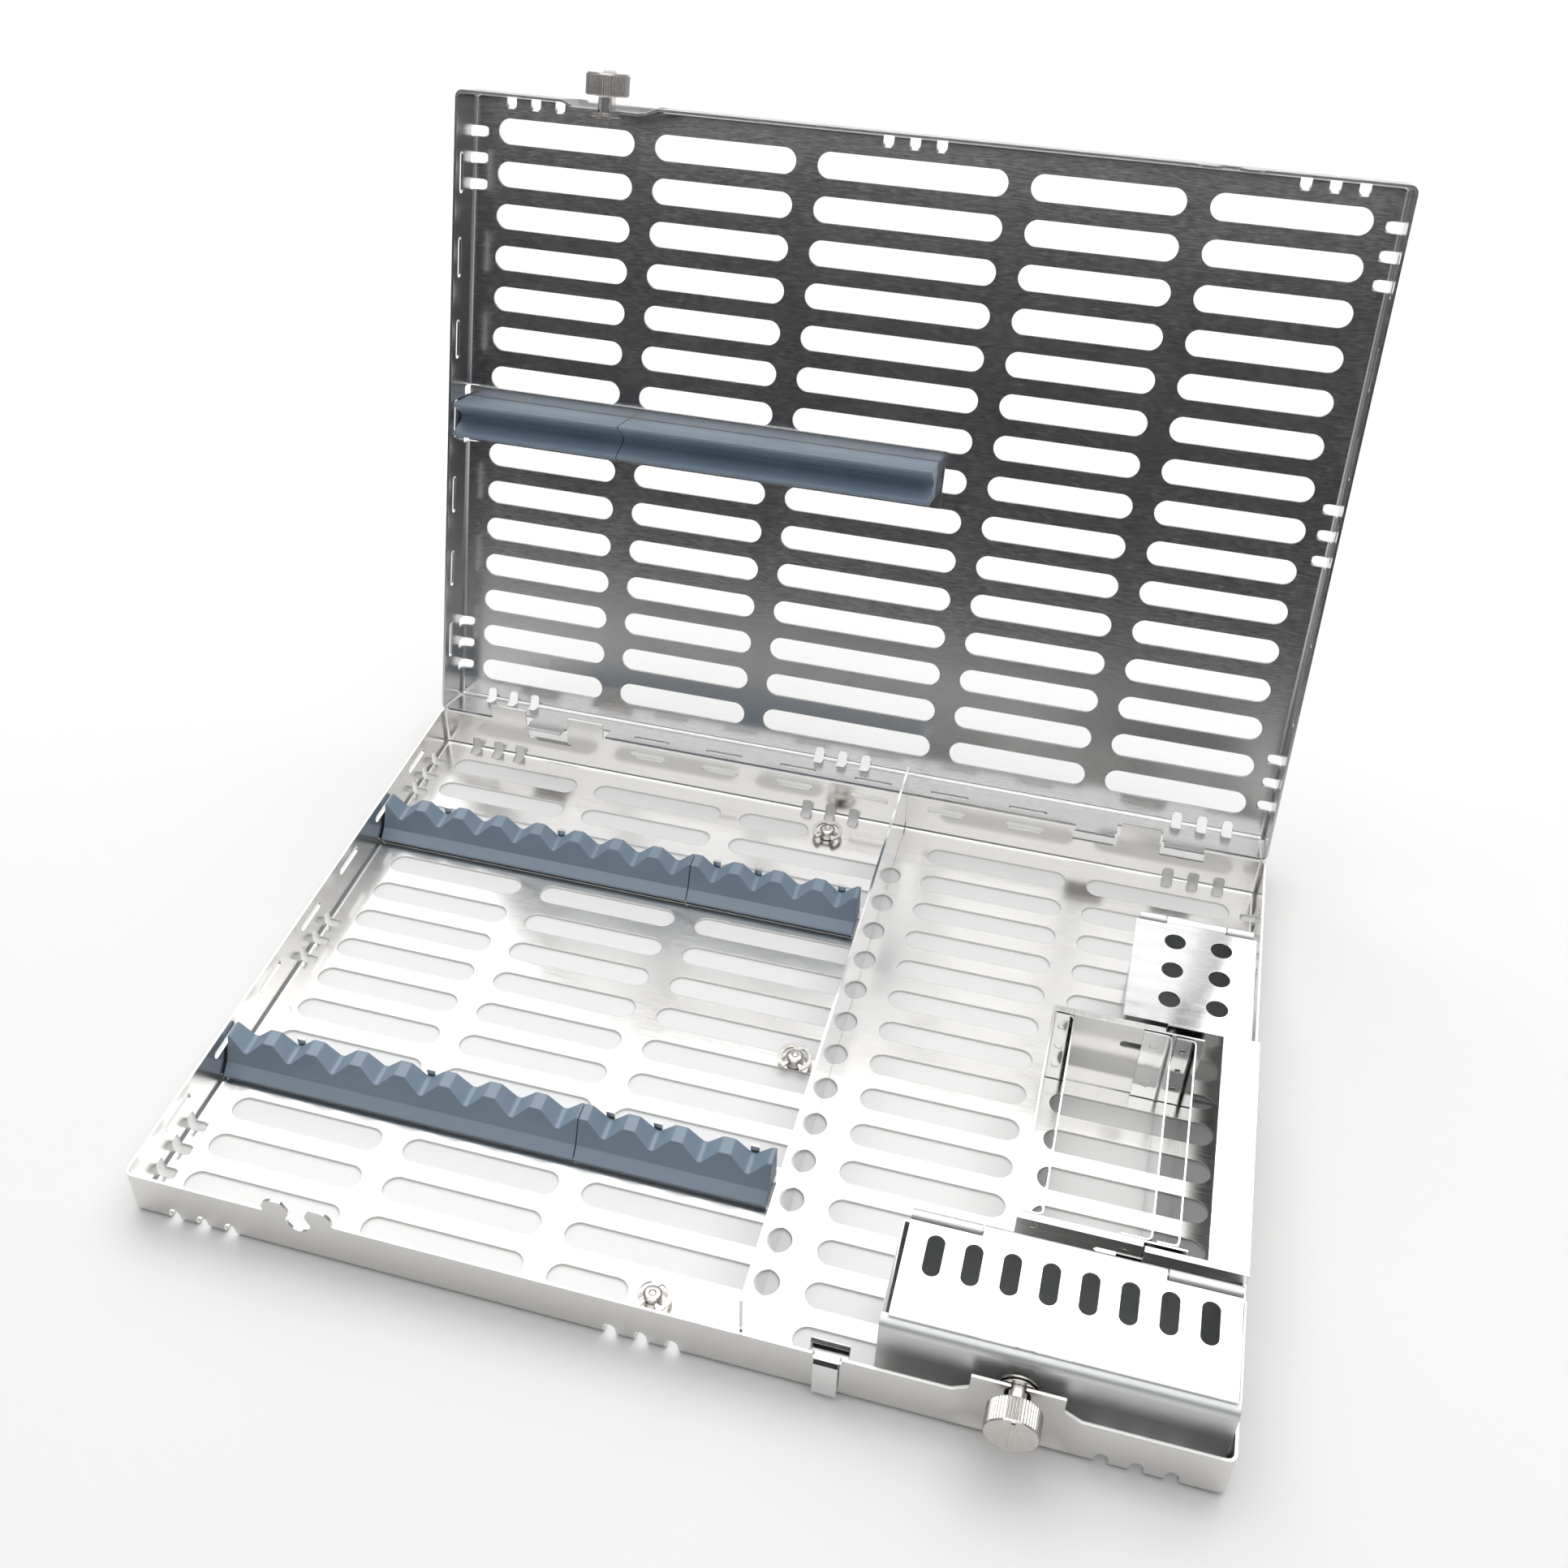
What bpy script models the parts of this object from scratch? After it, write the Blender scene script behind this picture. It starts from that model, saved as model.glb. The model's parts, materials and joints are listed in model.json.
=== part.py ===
"""Hinged instrument tray for sterilising and storing hand instruments.

Two pressed and perforated sheet trays close onto each other like a book. The base holds a divider,
two scalloped silicone rails, three accessory boxes, studs and a wall clip. The lid holds a pressing
rail. A quarter-turn knob on each tray locks into a hook on the other one.

Lengths are in metres. The base tray lies flat on z = 0 with its front edge towards -Y.
"""

import math

import bmesh
import bpy
from mathutils import Matrix, Vector

MM = 0.001
GAP = 0.3 * MM

# Trays
WIDTH = 279.4 * MM
DEPTH = 203.2 * MM
BASE_HEIGHT = 15.35 * MM
LID_HEIGHT = 16.37 * MM
SHEET = 0.8 * MM
BEND_RADIUS = 2.0 * MM
CORNER_RADIUS = 2.3 * MM
RIM_GAP = 0.15 * MM
OPEN_ANGLE = math.radians(106.94)

# Hinge: tabs of one tray stand in notches of the other, on an axis in the middle of the back walls
AXIS_Y = DEPTH / 2 - SHEET / 2
HINGE_RIM_DROP = 0.6 * MM
HINGE_TABS = ((-120.6, -108.1), (-92.7, -80.2), (94.3, 106.8))
HOOKED_TAB = 2
HINGE_NOTCHES = ((-107.6, -93.2), (79.7, 93.8), (107.3, 121.1))
TAB_LIP = 1.1 * MM
BASE_TAB_HEIGHTS = (5.6 * MM, 5.6 * MM, 5.6 * MM)
LID_TAB_HEIGHTS = (3.4 * MM, 3.4 * MM, 4.9 * MM)
BASE_NOTCH_DEPTH = 5.4 * MM
LID_NOTCH_DEPTH = 6.6 * MM

# Perforation
ROW_PITCH = 12.86 * MM
ROWS_EACH_WAY = 7
SLOT_WIDTH = 7.7 * MM
COLUMN_CENTRES = (-109.05, -57.75, 0.0, 57.75, 109.05)
COLUMN_LENGTHS = (44.7, 44.7, 57.5, 44.7, 44.7)
WALL_SLOT_LENGTH = 12.6 * MM
WALL_SLOT_WIDTH = 2.6 * MM
WALL_SLOT_DROP = 4.5 * MM
NOTCH_WIDTH = 3.3 * MM
NOTCH_REACH = 5.2 * MM
NOTCH_PITCH = 8.0 * MM
NOTCH_GROUPS_X = (-119.4 * MM, 0.0, 119.4 * MM)
NOTCH_GROUPS_Y = (-81.3 * MM, 0.0, 81.3 * MM)

# Latches: a knob on the right of the front wall and a hook on its left
LATCH_X = 90.3 * MM
LATCH_OFFSET = 1.95 * MM
POCKET_DEPTH = 1.6 * MM
POCKET_HALF = 10.9 * MM
POCKET_FLANK = 4.0 * MM
POCKET_FLOOR = 3.4 * MM
LATCH_TAB_RISE = 4.65 * MM
HOOK_HALF = 9.6 * MM
HOOK_ROUND = 3.4 * MM
HOOK_NOTCH_RADIUS = 3.3 * MM
HOOK_FLARE = 2.0 * MM
HOOK_MOUTH = 4.9 * MM
KNOB_RADIUS = 6.5 * MM
KNOB_LENGTH = 7.0 * MM
KNOB_CLEARANCE = 2.2 * MM
KNOB_RIB = 1.7 * MM
KNOB_SCOOP = 1.2 * MM
KNOB_DISCS = (
    ("spring_washer", 0.2 * MM, 0.3 * MM, 4.4 * MM),
    ("ring", 0.8 * MM, 0.5 * MM, 4.9 * MM),
)
STEM_RADIUS = 2.85 * MM
STEM_FLAT = 2.05 * MM

# Rails
RAIL_LEFT = -138.3 * MM
RAIL_RIGHT = 19.6 * MM
RAIL_SEAM = -34.0 * MM
RAIL_DEPTH = 11.4 * MM
RAIL_BOTTOM = 2.2 * MM
RAIL_TOP = 12.8 * MM
RAIL_FRONT_Y = (-56.8 * MM, 45.8 * MM)
LOBE_PITCH = 13.27 * MM
LOBE_START = -126.0 * MM
LOBE_FLAT = 1.6 * MM
LOBE_SLOPE = 4.4 * MM
VALLEY_DEPTH = 4.0 * MM
RAIL_TOE_Y = 2.8 * MM
RAIL_TOE_Z = 5.4 * MM
RAIL_CREST_Y = 5.9 * MM
PRONGS_X = (-119.0 * MM, -79.5 * MM, -27.0 * MM, -13.5 * MM, 13.5 * MM)
PRONG_WIDTH = 2.4 * MM
PRONG_TOP = 10.8 * MM
LID_RAIL_SEAM = -82.0 * MM
LID_RAIL_REACH = 101.5 * MM
LID_RAIL_HALF = 5.8 * MM
LID_RAIL_LIP = 1.0 * MM
LID_RAIL_TROUGH = 8.2 * MM
LID_CARRIER_EDGE = 3.4 * MM

# Divider, studs and wall clip
DIVIDER_X = 25.0 * MM
DIVIDER_TOP = 27.6 * MM
DIVIDER_CHAMFER = 2.2 * MM
STUDS = {"front": (-0.6, -90.0), "back": (1.5, 90.0), "middle": (14.8, -6.43)}
STUD_HEIGHT = 3.2 * MM
STUD_GROOVE = 1.5 * MM
STUD_CLIP_SHEET = 0.6 * MM
CLIP_OUTER = 4.9 * MM
CLIP_INNER = 3.5 * MM
CLIP_LOBE = 2.2 * MM
CLIP_OPENING = 28
CLIP_X = 46.2 * MM
CLIP_NOTCH_HALF = 3.5 * MM
CLIP_NOTCH_DEPTH = 1.7 * MM
CLIP_NARROW = 3.0 * MM
CLIP_WIDE = 4.8 * MM
CLIP_SHEET = 0.5 * MM
CLIP_BRIDGE = BASE_HEIGHT - 0.95 * MM

# Accessory boxes
BOX_SHEET = 0.6 * MM
BOX_BOTTOM = SHEET + GAP
FRONT_CURL = 3.0 * MM
PLATE_INSET = 1.8 * MM
LID_SKIRT = 0.9 * MM
LID_SKIRT_DROP = 1.2 * MM
PIN_RADIUS = 0.7 * MM
PIN_DROP = 0.8 * MM
BARREL_RADIUS = 1.5 * MM
BARREL_SHARE = 0.22
BOX_TOP = 28.0 * MM
BUR_BOX = ((101.9 * MM, 12.6 * MM), (136.0 * MM, 51.6 * MM))
BUR_HOLES_X = (113.5 * MM, 126.4 * MM)
BUR_HOLES_Y = (21.6 * MM, 33.0 * MM, 44.4 * MM)
BUR_HOLE_RADIUS = 2.9 * MM
SLOTTED_BOX = ((56.8 * MM, -96.6 * MM), (138.2 * MM, -67.6 * MM))
COVER_SLOT_X = 65.8 * MM
COVER_SLOT_Y = -76.6 * MM
COVER_SLOT_PITCH = 9.2 * MM
COVER_SLOT_LENGTH = 11.4 * MM
COVER_SLOT_WIDTH = 4.2 * MM

# Sliding parts box: the sleeve on the right takes the drawer, which carries the partitions
DRAWER_LEFT = 83.2 * MM
DRAWER_RIGHT = 124.0 * MM
DRAWER_FRONT = -58.6 * MM
DRAWER_BACK = 9.8 * MM
DRAWER_TOP = BOX_TOP - 0.4 * MM
SLEEVE_LEFT = 113.9 * MM
SLEEVE_RIGHT = 138.2 * MM
SLEEVE_LAP = 2.3 * MM
SLEEVE_TOP = BOX_TOP + 0.5 * MM
SLEEVE_COVER = 128.6 * MM
PARTITIONS = ((89.4 * MM, 5.2 * MM), (115.6 * MM, 7.6 * MM), (122.0 * MM, 5.4 * MM))
PARTITION_BEND = 1.5 * MM
PARTITION_SHEET = 0.5 * MM
HEM_SHEET = 0.5 * MM
HEM_DROP = 3.2 * MM
DRAWER_HEM = 1.7 * MM
SLEEVE_HEM = 1.4 * MM
RIVET_X = 117.0 * MM
RIVET_Z = 20.0 * MM
RIVET_RADIUS = 0.9 * MM
RIVET_HEAD = 1.9 * MM
RIVET_HEAD_THICK = 0.7 * MM
SLIDE_TRAVEL = 13.0 * MM
SLIDE_SLOT_WIDTH = 2.6 * MM

# The object's own origin is under the middle of the opened tray
FRAME_SHIFT_Y = -32.3 * MM

STEEL = ((0.66, 0.65, 0.63), 0.32, 1.0)
BRIGHT_STEEL = ((0.78, 0.78, 0.77), 0.2, 1.0)
SILICONE = ((0.12, 0.17, 0.23), 0.6, 0.0)


def material(name, look):
    colour, roughness, metallic = look
    found = bpy.data.materials.get(name)
    if found:
        return found
    made = bpy.data.materials.new(name)
    made.use_nodes = True
    shader = made.node_tree.nodes["Principled BSDF"]
    shader.inputs["Base Color"].default_value = (*colour, 1.0)
    shader.inputs["Roughness"].default_value = roughness
    shader.inputs["Metallic"].default_value = metallic
    return made


def collection(name):
    made = bpy.data.collections.new(name)
    bpy.context.scene.collection.children.link(made)
    return made


def add_object(name, mesh, look, parent):
    obj = bpy.data.objects.new(name, mesh)
    mesh.materials.append(material(f"{name}_material", look))
    parts.objects.link(obj)
    obj.parent = parent
    return obj


def mesh_of(bm, name):
    bmesh.ops.recalc_face_normals(bm, faces=bm.faces)
    mesh = bpy.data.meshes.new(name)
    bm.to_mesh(mesh)
    bm.free()
    return mesh


def cutter(name, bm, parent):
    obj = bpy.data.objects.new(name, mesh_of(bm, name))
    cutters.objects.link(obj)
    obj.parent = parent
    obj.hide_render = True
    obj.display_type = "WIRE"
    return obj


def boolean(obj, other, operation="DIFFERENCE"):
    modifier = obj.modifiers.new(other.name, "BOOLEAN")
    modifier.operation = operation
    modifier.solver = "EXACT"
    modifier.object = other


def solidify(obj, thickness, offset=-1.0):
    modifier = obj.modifiers.new("sheet", "SOLIDIFY")
    modifier.thickness = thickness
    modifier.offset = offset
    modifier.use_even_offset = True


def add_box(bm, low, high):
    """A block between two corners."""
    low = Vector(low)
    high = Vector(high)
    place = Matrix.Translation((low + high) / 2) @ Matrix.Diagonal((*(high - low), 1.0))
    return bmesh.ops.create_cube(bm, size=1.0, matrix=place)["verts"]


def add_rod(bm, radius, length, place, segments=16):
    """A cylinder along the local Z of place, centred on it."""
    bmesh.ops.create_cone(
        bm, cap_ends=True, segments=segments, radius1=radius, radius2=radius, depth=length, matrix=place
    )


def add_slot(bm, length, width, depth, place, segments=8):
    """A prism with round ends: length along local X, width along local Y, depth along local Z."""
    turn = Matrix.Rotation(math.pi / segments, 4, "Z")
    made = bmesh.ops.create_cone(
        bm, cap_ends=True, segments=segments, radius1=width / 2, radius2=width / 2, depth=depth, matrix=turn
    )
    for vert in made["verts"]:
        vert.co.x += math.copysign((length - width) / 2, vert.co.x)
    bmesh.ops.transform(bm, matrix=place, verts=made["verts"])


def add_prism(bm, outline, low, high, across):
    """A flat outline swept from low to high along one axis; its points are in the other two axes."""
    axis = "XYZ".index(across)
    ring = []
    for point in outline:
        place = list(point)
        place.insert(axis, low)
        ring.append(bm.verts.new(place))
    move = Vector([high - low if index == axis else 0.0 for index in range(3)])
    face = bm.faces.new(ring)
    swept = bmesh.ops.extrude_face_region(bm, geom=[face], use_keep_orig=True)
    moved = [item for item in swept["geom"] if isinstance(item, bmesh.types.BMVert)]
    bmesh.ops.translate(bm, vec=move, verts=moved)


def facing_y(x, y, z):
    """Local X stays along X, local Y points up and local Z points to the front."""
    return Matrix.Translation((x, y, z)) @ Matrix.Rotation(math.pi / 2, 4, "X")


def facing_x(x, y, z):
    """Local X runs along Y, local Y points up and local Z runs along X."""
    return Matrix.Translation((x, y, z)) @ Matrix(
        ((0, 0, 1, 0), (1, 0, 0, 0), (0, 1, 0, 0), (0, 0, 0, 1))
    )


def split_wall(bm, side_y, stations):
    """Cuts vertical edges at the given X stations into the front or back wall."""
    for station in stations:
        faces = [face for face in bm.faces if all(abs(v.co.y - side_y) < GAP for v in face.verts)]
        edges = {edge for face in faces for edge in face.edges}
        verts = {vert for face in faces for vert in face.verts}
        geometry = [*faces, *edges, *verts]
        bmesh.ops.bisect_plane(bm, geom=geometry, plane_co=(station, 0, 0), plane_no=(1, 0, 0))


def raise_rim(bm, side_y, rim_z, span, rise, lip=0.0):
    """Extrudes the rim edges between two X stations upwards into a tab, whose end may curl inwards."""
    low, high = span
    edges = [
        edge
        for edge in bm.edges
        if edge.is_boundary
        and all(
            abs(v.co.y - side_y) < GAP and v.co.z > rim_z - MM and low - GAP < v.co.x < high + GAP
            for v in edge.verts
        )
    ]
    for shift, level in ((0.0, rise - lip), (lip / 3, rise - lip / 3), (lip, rise)):
        if not lip and level < rise:
            continue
        swept = bmesh.ops.extrude_edge_only(bm, edges=edges)["geom"]
        edges = [item for item in swept if isinstance(item, bmesh.types.BMEdge)]
        edges = [e for e in edges if e.is_boundary and abs(e.verts[0].co.z - e.verts[1].co.z) < GAP]
        for item in swept:
            if isinstance(item, bmesh.types.BMVert):
                item.co.z = rim_z + level
                item.co.y = side_y - math.copysign(shift, side_y)
        if not lip:
            break


def pressed_surface(height, tab_heights):
    """The outer face of a tray: floor, four walls, knob pocket, latch tab, hook tab and hinge tabs."""
    front_y = -DEPTH / 2
    back_y = DEPTH / 2
    rim_z = height - RIM_GAP
    bm = bmesh.new()
    add_box(bm, (-WIDTH / 2, front_y, 0.0), (WIDTH / 2, back_y, rim_z))
    top = [face for face in bm.faces if face.normal.z > 0.5]
    bmesh.ops.delete(bm, geom=top, context="FACES")
    upright = [edge for edge in bm.edges if abs(edge.verts[0].co.z - edge.verts[1].co.z) > MM]
    bmesh.ops.bevel(bm, geom=upright, offset=CORNER_RADIUS, segments=2, profile=0.5, affect="EDGES")
    bottom = [edge for edge in bm.edges if all(v.co.z < GAP for v in edge.verts)]
    bmesh.ops.bevel(bm, geom=bottom, offset=BEND_RADIUS, segments=3, profile=0.5, affect="EDGES")

    pocket = (LATCH_X - POCKET_HALF, LATCH_X + POCKET_HALF)
    flanks = (pocket[0] - POCKET_FLANK, pocket[1] + POCKET_FLANK)
    hook = (-LATCH_X - HOOK_HALF, -LATCH_X + HOOK_HALF)
    split_wall(bm, front_y, (*pocket, *flanks, *hook))
    wall = [face for face in bm.faces if all(abs(v.co.y - front_y) < GAP for v in face.verts)]
    geometry = [*wall, *{edge for face in wall for edge in face.edges}]
    geometry += list({vert for face in wall for vert in face.verts})
    bmesh.ops.bisect_plane(
        bm, geom=geometry, plane_co=(0, 0, POCKET_FLOOR + POCKET_DEPTH), plane_no=(0, 0, 1)
    )
    raise_rim(bm, front_y, rim_z, hook, LATCH_TAB_RISE + RIM_GAP)
    tips = [v for v in bm.verts if v.co.z > rim_z + MM and abs(v.co.y - front_y) < GAP]
    bmesh.ops.bevel(bm, geom=tips, offset=HOOK_ROUND, segments=3, profile=0.5, affect="VERTICES")
    raise_rim(bm, front_y, rim_z, pocket, LATCH_TAB_RISE + RIM_GAP)
    for vert in bm.verts:
        inside = pocket[0] - GAP < vert.co.x < pocket[1] + GAP
        if inside and abs(vert.co.y - front_y) < GAP and vert.co.z > POCKET_FLOOR:
            vert.co.y += POCKET_DEPTH

    tabs = [tuple(value * MM for value in span) for span in HINGE_TABS]
    split_wall(bm, back_y, [station for span in tabs for station in span])
    for index, (span, rise) in enumerate(zip(tabs, tab_heights)):
        lip = TAB_LIP if index == HOOKED_TAB else 0.0
        raise_rim(bm, back_y, rim_z, span, rise + RIM_GAP, lip)
    for vert in bm.verts:
        if vert.co.y > back_y - GAP and abs(vert.co.z - rim_z) < GAP:
            vert.co.z = height - HINGE_RIM_DROP
    return bm


def floor_slots(shortened):
    """Every row and column of the floor perforation, with the blanks left around the studs."""
    bm = bmesh.new()
    for row in range(-ROWS_EACH_WAY, ROWS_EACH_WAY + 1):
        for column, (centre, length) in enumerate(zip(COLUMN_CENTRES, COLUMN_LENGTHS)):
            low = (centre - length / 2) * MM
            high = (centre + length / 2) * MM
            high = shortened.get((row, column), high)
            place = Matrix.Translation(((low + high) / 2, row * ROW_PITCH, 0.0))
            add_slot(bm, high - low, SLOT_WIDTH, 4 * SHEET, place)
    return bm


def bend_notches():
    """Short slots across the bend between floor and wall, in groups of three."""
    bm = bmesh.new()
    length = 1.31 * NOTCH_REACH
    depth = 10 * SHEET
    for group in NOTCH_GROUPS_X:
        for step in (-1, 0, 1):
            for side in (-1, 1):
                turn = Matrix.Rotation(math.radians(side * 45), 4, "X") @ Matrix.Rotation(math.pi / 2, 4, "Z")
                place = Matrix.Translation((group + step * NOTCH_PITCH, side * (DEPTH / 2), 0.0))
                add_slot(bm, length, NOTCH_WIDTH, depth, place @ turn)
    for group in NOTCH_GROUPS_Y:
        for step in (-1, 0, 1):
            for side in (-1, 1):
                turn = Matrix.Rotation(math.radians(-side * 45), 4, "Y")
                place = Matrix.Translation((side * (WIDTH / 2), group + step * NOTCH_PITCH, 0.0))
                add_slot(bm, length, NOTCH_WIDTH, depth, place @ turn)
    return bm


def wall_slots(height):
    """Thin slots in the back wall and in both side walls, and the hook's notch in the front wall."""
    bm = bmesh.new()
    z = height - WALL_SLOT_DROP
    thick = 4 * SHEET
    for step in (-5, -3, -1, 1, 3, 5):
        place = facing_y(step * ROW_PITCH, DEPTH / 2, z)
        add_slot(bm, WALL_SLOT_LENGTH, WALL_SLOT_WIDTH, thick, place)
    for step in (-6, -4, -2, 0, 2, 4, 6):
        for side in (-1, 1):
            place = facing_x(side * WIDTH / 2, step * ROW_PITCH, z)
            add_slot(bm, WALL_SLOT_LENGTH, WALL_SLOT_WIDTH, thick, place)
    return bm


def rim_cutouts(height, notch_depth, clip_notch):
    """Hinge notches, the rim notch for the wall clip and the mouth of the latch hook."""
    bm = bmesh.new()
    for low, high in HINGE_NOTCHES:
        bottom = height - notch_depth
        add_box(bm, (low * MM, AXIS_Y - 2 * SHEET, bottom), (high * MM, AXIS_Y + 2 * SHEET, height + MM))
    if clip_notch:
        low = (CLIP_X - CLIP_NOTCH_HALF, -DEPTH / 2 - SHEET, height - CLIP_NOTCH_DEPTH)
        add_box(bm, low, (CLIP_X + CLIP_NOTCH_HALF, -DEPTH / 2 + 2 * SHEET, height + MM))
    half = HOOK_MOUTH / 2
    wide = half + HOOK_FLARE
    outline = ((-half, -LATCH_OFFSET), (-half, LATCH_OFFSET), (-wide, LATCH_TAB_RISE + MM))
    outline += tuple((-x, z) for x, z in reversed(outline))
    outline = [(x - LATCH_X, z + height) for x, z in outline]
    add_prism(bm, outline, -DEPTH / 2 - SHEET, -DEPTH / 2 + 2 * SHEET, across="Y")
    return bm


def latch_bores(height):
    """The round seat in the hook and the stem's bore in the knob pocket."""
    bm = bmesh.new()
    add_rod(bm, HOOK_NOTCH_RADIUS, 5 * SHEET, facing_y(-LATCH_X, -DEPTH / 2, height - LATCH_OFFSET))
    pocket_y = -DEPTH / 2 + POCKET_DEPTH + SHEET / 2
    add_rod(bm, STEM_RADIUS + GAP, 4 * SHEET, facing_y(LATCH_X, pocket_y, height + LATCH_OFFSET))
    return bm


def pressed_tray(name, height, tab_heights, notch_depth, parent, shortened=None, clip=False):
    """A pressed shell; shortened gives the right end of each slot that stops early."""
    surface = mesh_of(pressed_surface(height, tab_heights), name)
    tray = add_object(name, surface, STEEL, parent)
    solidify(tray, SHEET)
    steps = {
        "slots": floor_slots(shortened or {}),
        "bend_notches": bend_notches(),
        "wall_slots": wall_slots(height),
        "rim_cutouts": rim_cutouts(height, notch_depth, clip),
        "latch_bores": latch_bores(height),
    }
    for label, bm in steps.items():
        boolean(tray, cutter(f"{name}_{label}_cutter", bm, parent))
    return tray


def turned_outline(radius, flat, segments=20):
    """A circle with two flats: the points past the flats are pulled back onto them."""
    points = []
    for index in range(segments):
        angle = 2 * math.pi * (index + 0.5) / segments
        x = max(-flat, min(flat, radius * math.cos(angle)))
        points.append((x, radius * math.sin(angle)))
    return points


def latch_knob(prefix, axis_z, parent):
    """Knob, stem, spring washer and retaining ring on an axis through the knob pocket."""
    axis = bpy.data.objects.new(f"{prefix}_knob_axis", None)
    parts.objects.link(axis)
    axis.parent = parent
    pocket_y = -DEPTH / 2 + POCKET_DEPTH
    axis.location = (LATCH_X, pocket_y, axis_z)
    back = -POCKET_DEPTH - KNOB_CLEARANCE
    front = back - KNOB_LENGTH

    bm = bmesh.new()
    add_rod(bm, KNOB_RADIUS, KNOB_LENGTH, facing_y(0, (back + front) / 2, 0), segments=24)
    knob = add_object(f"{prefix}_knob", mesh_of(bm, f"{prefix}_knob"), STEEL, axis)
    bm = bmesh.new()
    for side in (-1, 1):
        low = min(side * KNOB_RIB / 2, side * 2 * KNOB_RADIUS)
        high = max(side * KNOB_RIB / 2, side * 2 * KNOB_RADIUS)
        add_box(
            bm, (low, front - MM, -2 * KNOB_RADIUS), (high, front + KNOB_SCOOP, 0.25 * KNOB_RADIUS)
        )
    boolean(knob, cutter(f"{prefix}_knob_scoops", bm, axis))

    bm = bmesh.new()
    inner_end = SHEET + 1.7 * MM
    outline = turned_outline(STEM_RADIUS, STEM_FLAT)
    add_prism(bm, outline, back + GAP, inner_end, across="Y")
    add_object(f"{prefix}_knob_stem", mesh_of(bm, f"{prefix}_knob_stem"), BRIGHT_STEEL, axis)

    for label, gap, thick, outer in KNOB_DISCS:
        low = SHEET + gap
        bm = bmesh.new()
        add_rod(bm, outer, thick, facing_y(0, low + thick / 2, 0), segments=20)
        disc = add_object(f"{prefix}_knob_{label}", mesh_of(bm, label), BRIGHT_STEEL, axis)
        bm = bmesh.new()
        add_rod(bm, STEM_RADIUS + 0.2 * MM, 4 * thick, facing_y(0, low + thick / 2, 0))
        boolean(disc, cutter(f"{prefix}_knob_{label}_bore", bm, axis))


def lobed_outline(low, high):
    """The upper edge of a rail seen from the front: flat lobes with sloping valleys between them."""
    valley = RAIL_TOP - VALLEY_DEPTH
    points = [(low, RAIL_BOTTOM)]
    centres = [LOBE_START + index * LOBE_PITCH for index in range(-1, 12)]
    reach = LOBE_FLAT + LOBE_SLOPE
    lobe = ((-reach, valley), (-LOBE_FLAT, RAIL_TOP), (LOBE_FLAT, RAIL_TOP), (reach, valley))
    for centre in centres:
        for offset, level in lobe:
            if low < centre + offset < high:
                if len(points) == 1:
                    points.append((low, level))
                points.append((centre + offset, level))
    points.append((high, points[-1][1]))
    points.append((high, RAIL_BOTTOM))
    return points


def rail_section(front):
    """A rail seen from the side: sloping toe, steep front face, level crest and upright back."""
    foot = RAIL_BOTTOM - MM
    crest = RAIL_TOP + GAP
    shape = ((0.0, foot), (0.0, RAIL_BOTTOM + GAP), (RAIL_TOE_Y, RAIL_TOE_Z), (RAIL_CREST_Y, crest))
    points = [(front + y, z) for y, z in shape]
    points.append((front + RAIL_DEPTH, crest))
    points.append((front + RAIL_DEPTH, foot))
    return points


def strips(seam):
    """The two lengths that a rail is made of, with their ends meeting at the seam."""
    return ("left", RAIL_LEFT, seam - GAP / 2), ("right", seam + GAP / 2, RAIL_RIGHT)


def base_rail(label, front, parent):
    """Two silicone strips and the steel carrier under them, whose prongs stand behind the strips."""
    for side, low, high in strips(RAIL_SEAM):
        bm = bmesh.new()
        add_prism(bm, lobed_outline(low, high), front - MM, front + RAIL_DEPTH, across="Y")
        name = f"{label}_rail_{side}"
        strip = add_object(name, mesh_of(bm, name), SILICONE, parent)
        bm = bmesh.new()
        add_prism(bm, rail_section(front), low - MM, high + MM, across="X")
        boolean(strip, cutter(f"{name}_section", bm, parent), "INTERSECT")
    carrier_top = RAIL_BOTTOM - GAP
    back = front + RAIL_DEPTH + GAP + SHEET
    bm = bmesh.new()
    add_box(bm, (RAIL_LEFT, front + MM, BOX_BOTTOM), (RAIL_RIGHT, back, carrier_top))
    carrier = add_object(f"{label}_rail_carrier", mesh_of(bm, f"{label}_rail_carrier"), STEEL, parent)
    bm = bmesh.new()
    for centre in PRONGS_X:
        low = centre - PRONG_WIDTH / 2
        add_box(bm, (low, back - SHEET, carrier_top - GAP), (low + PRONG_WIDTH, back, PRONG_TOP))
    boolean(carrier, cutter(f"{label}_rail_prongs", bm, parent), "UNION")


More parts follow.
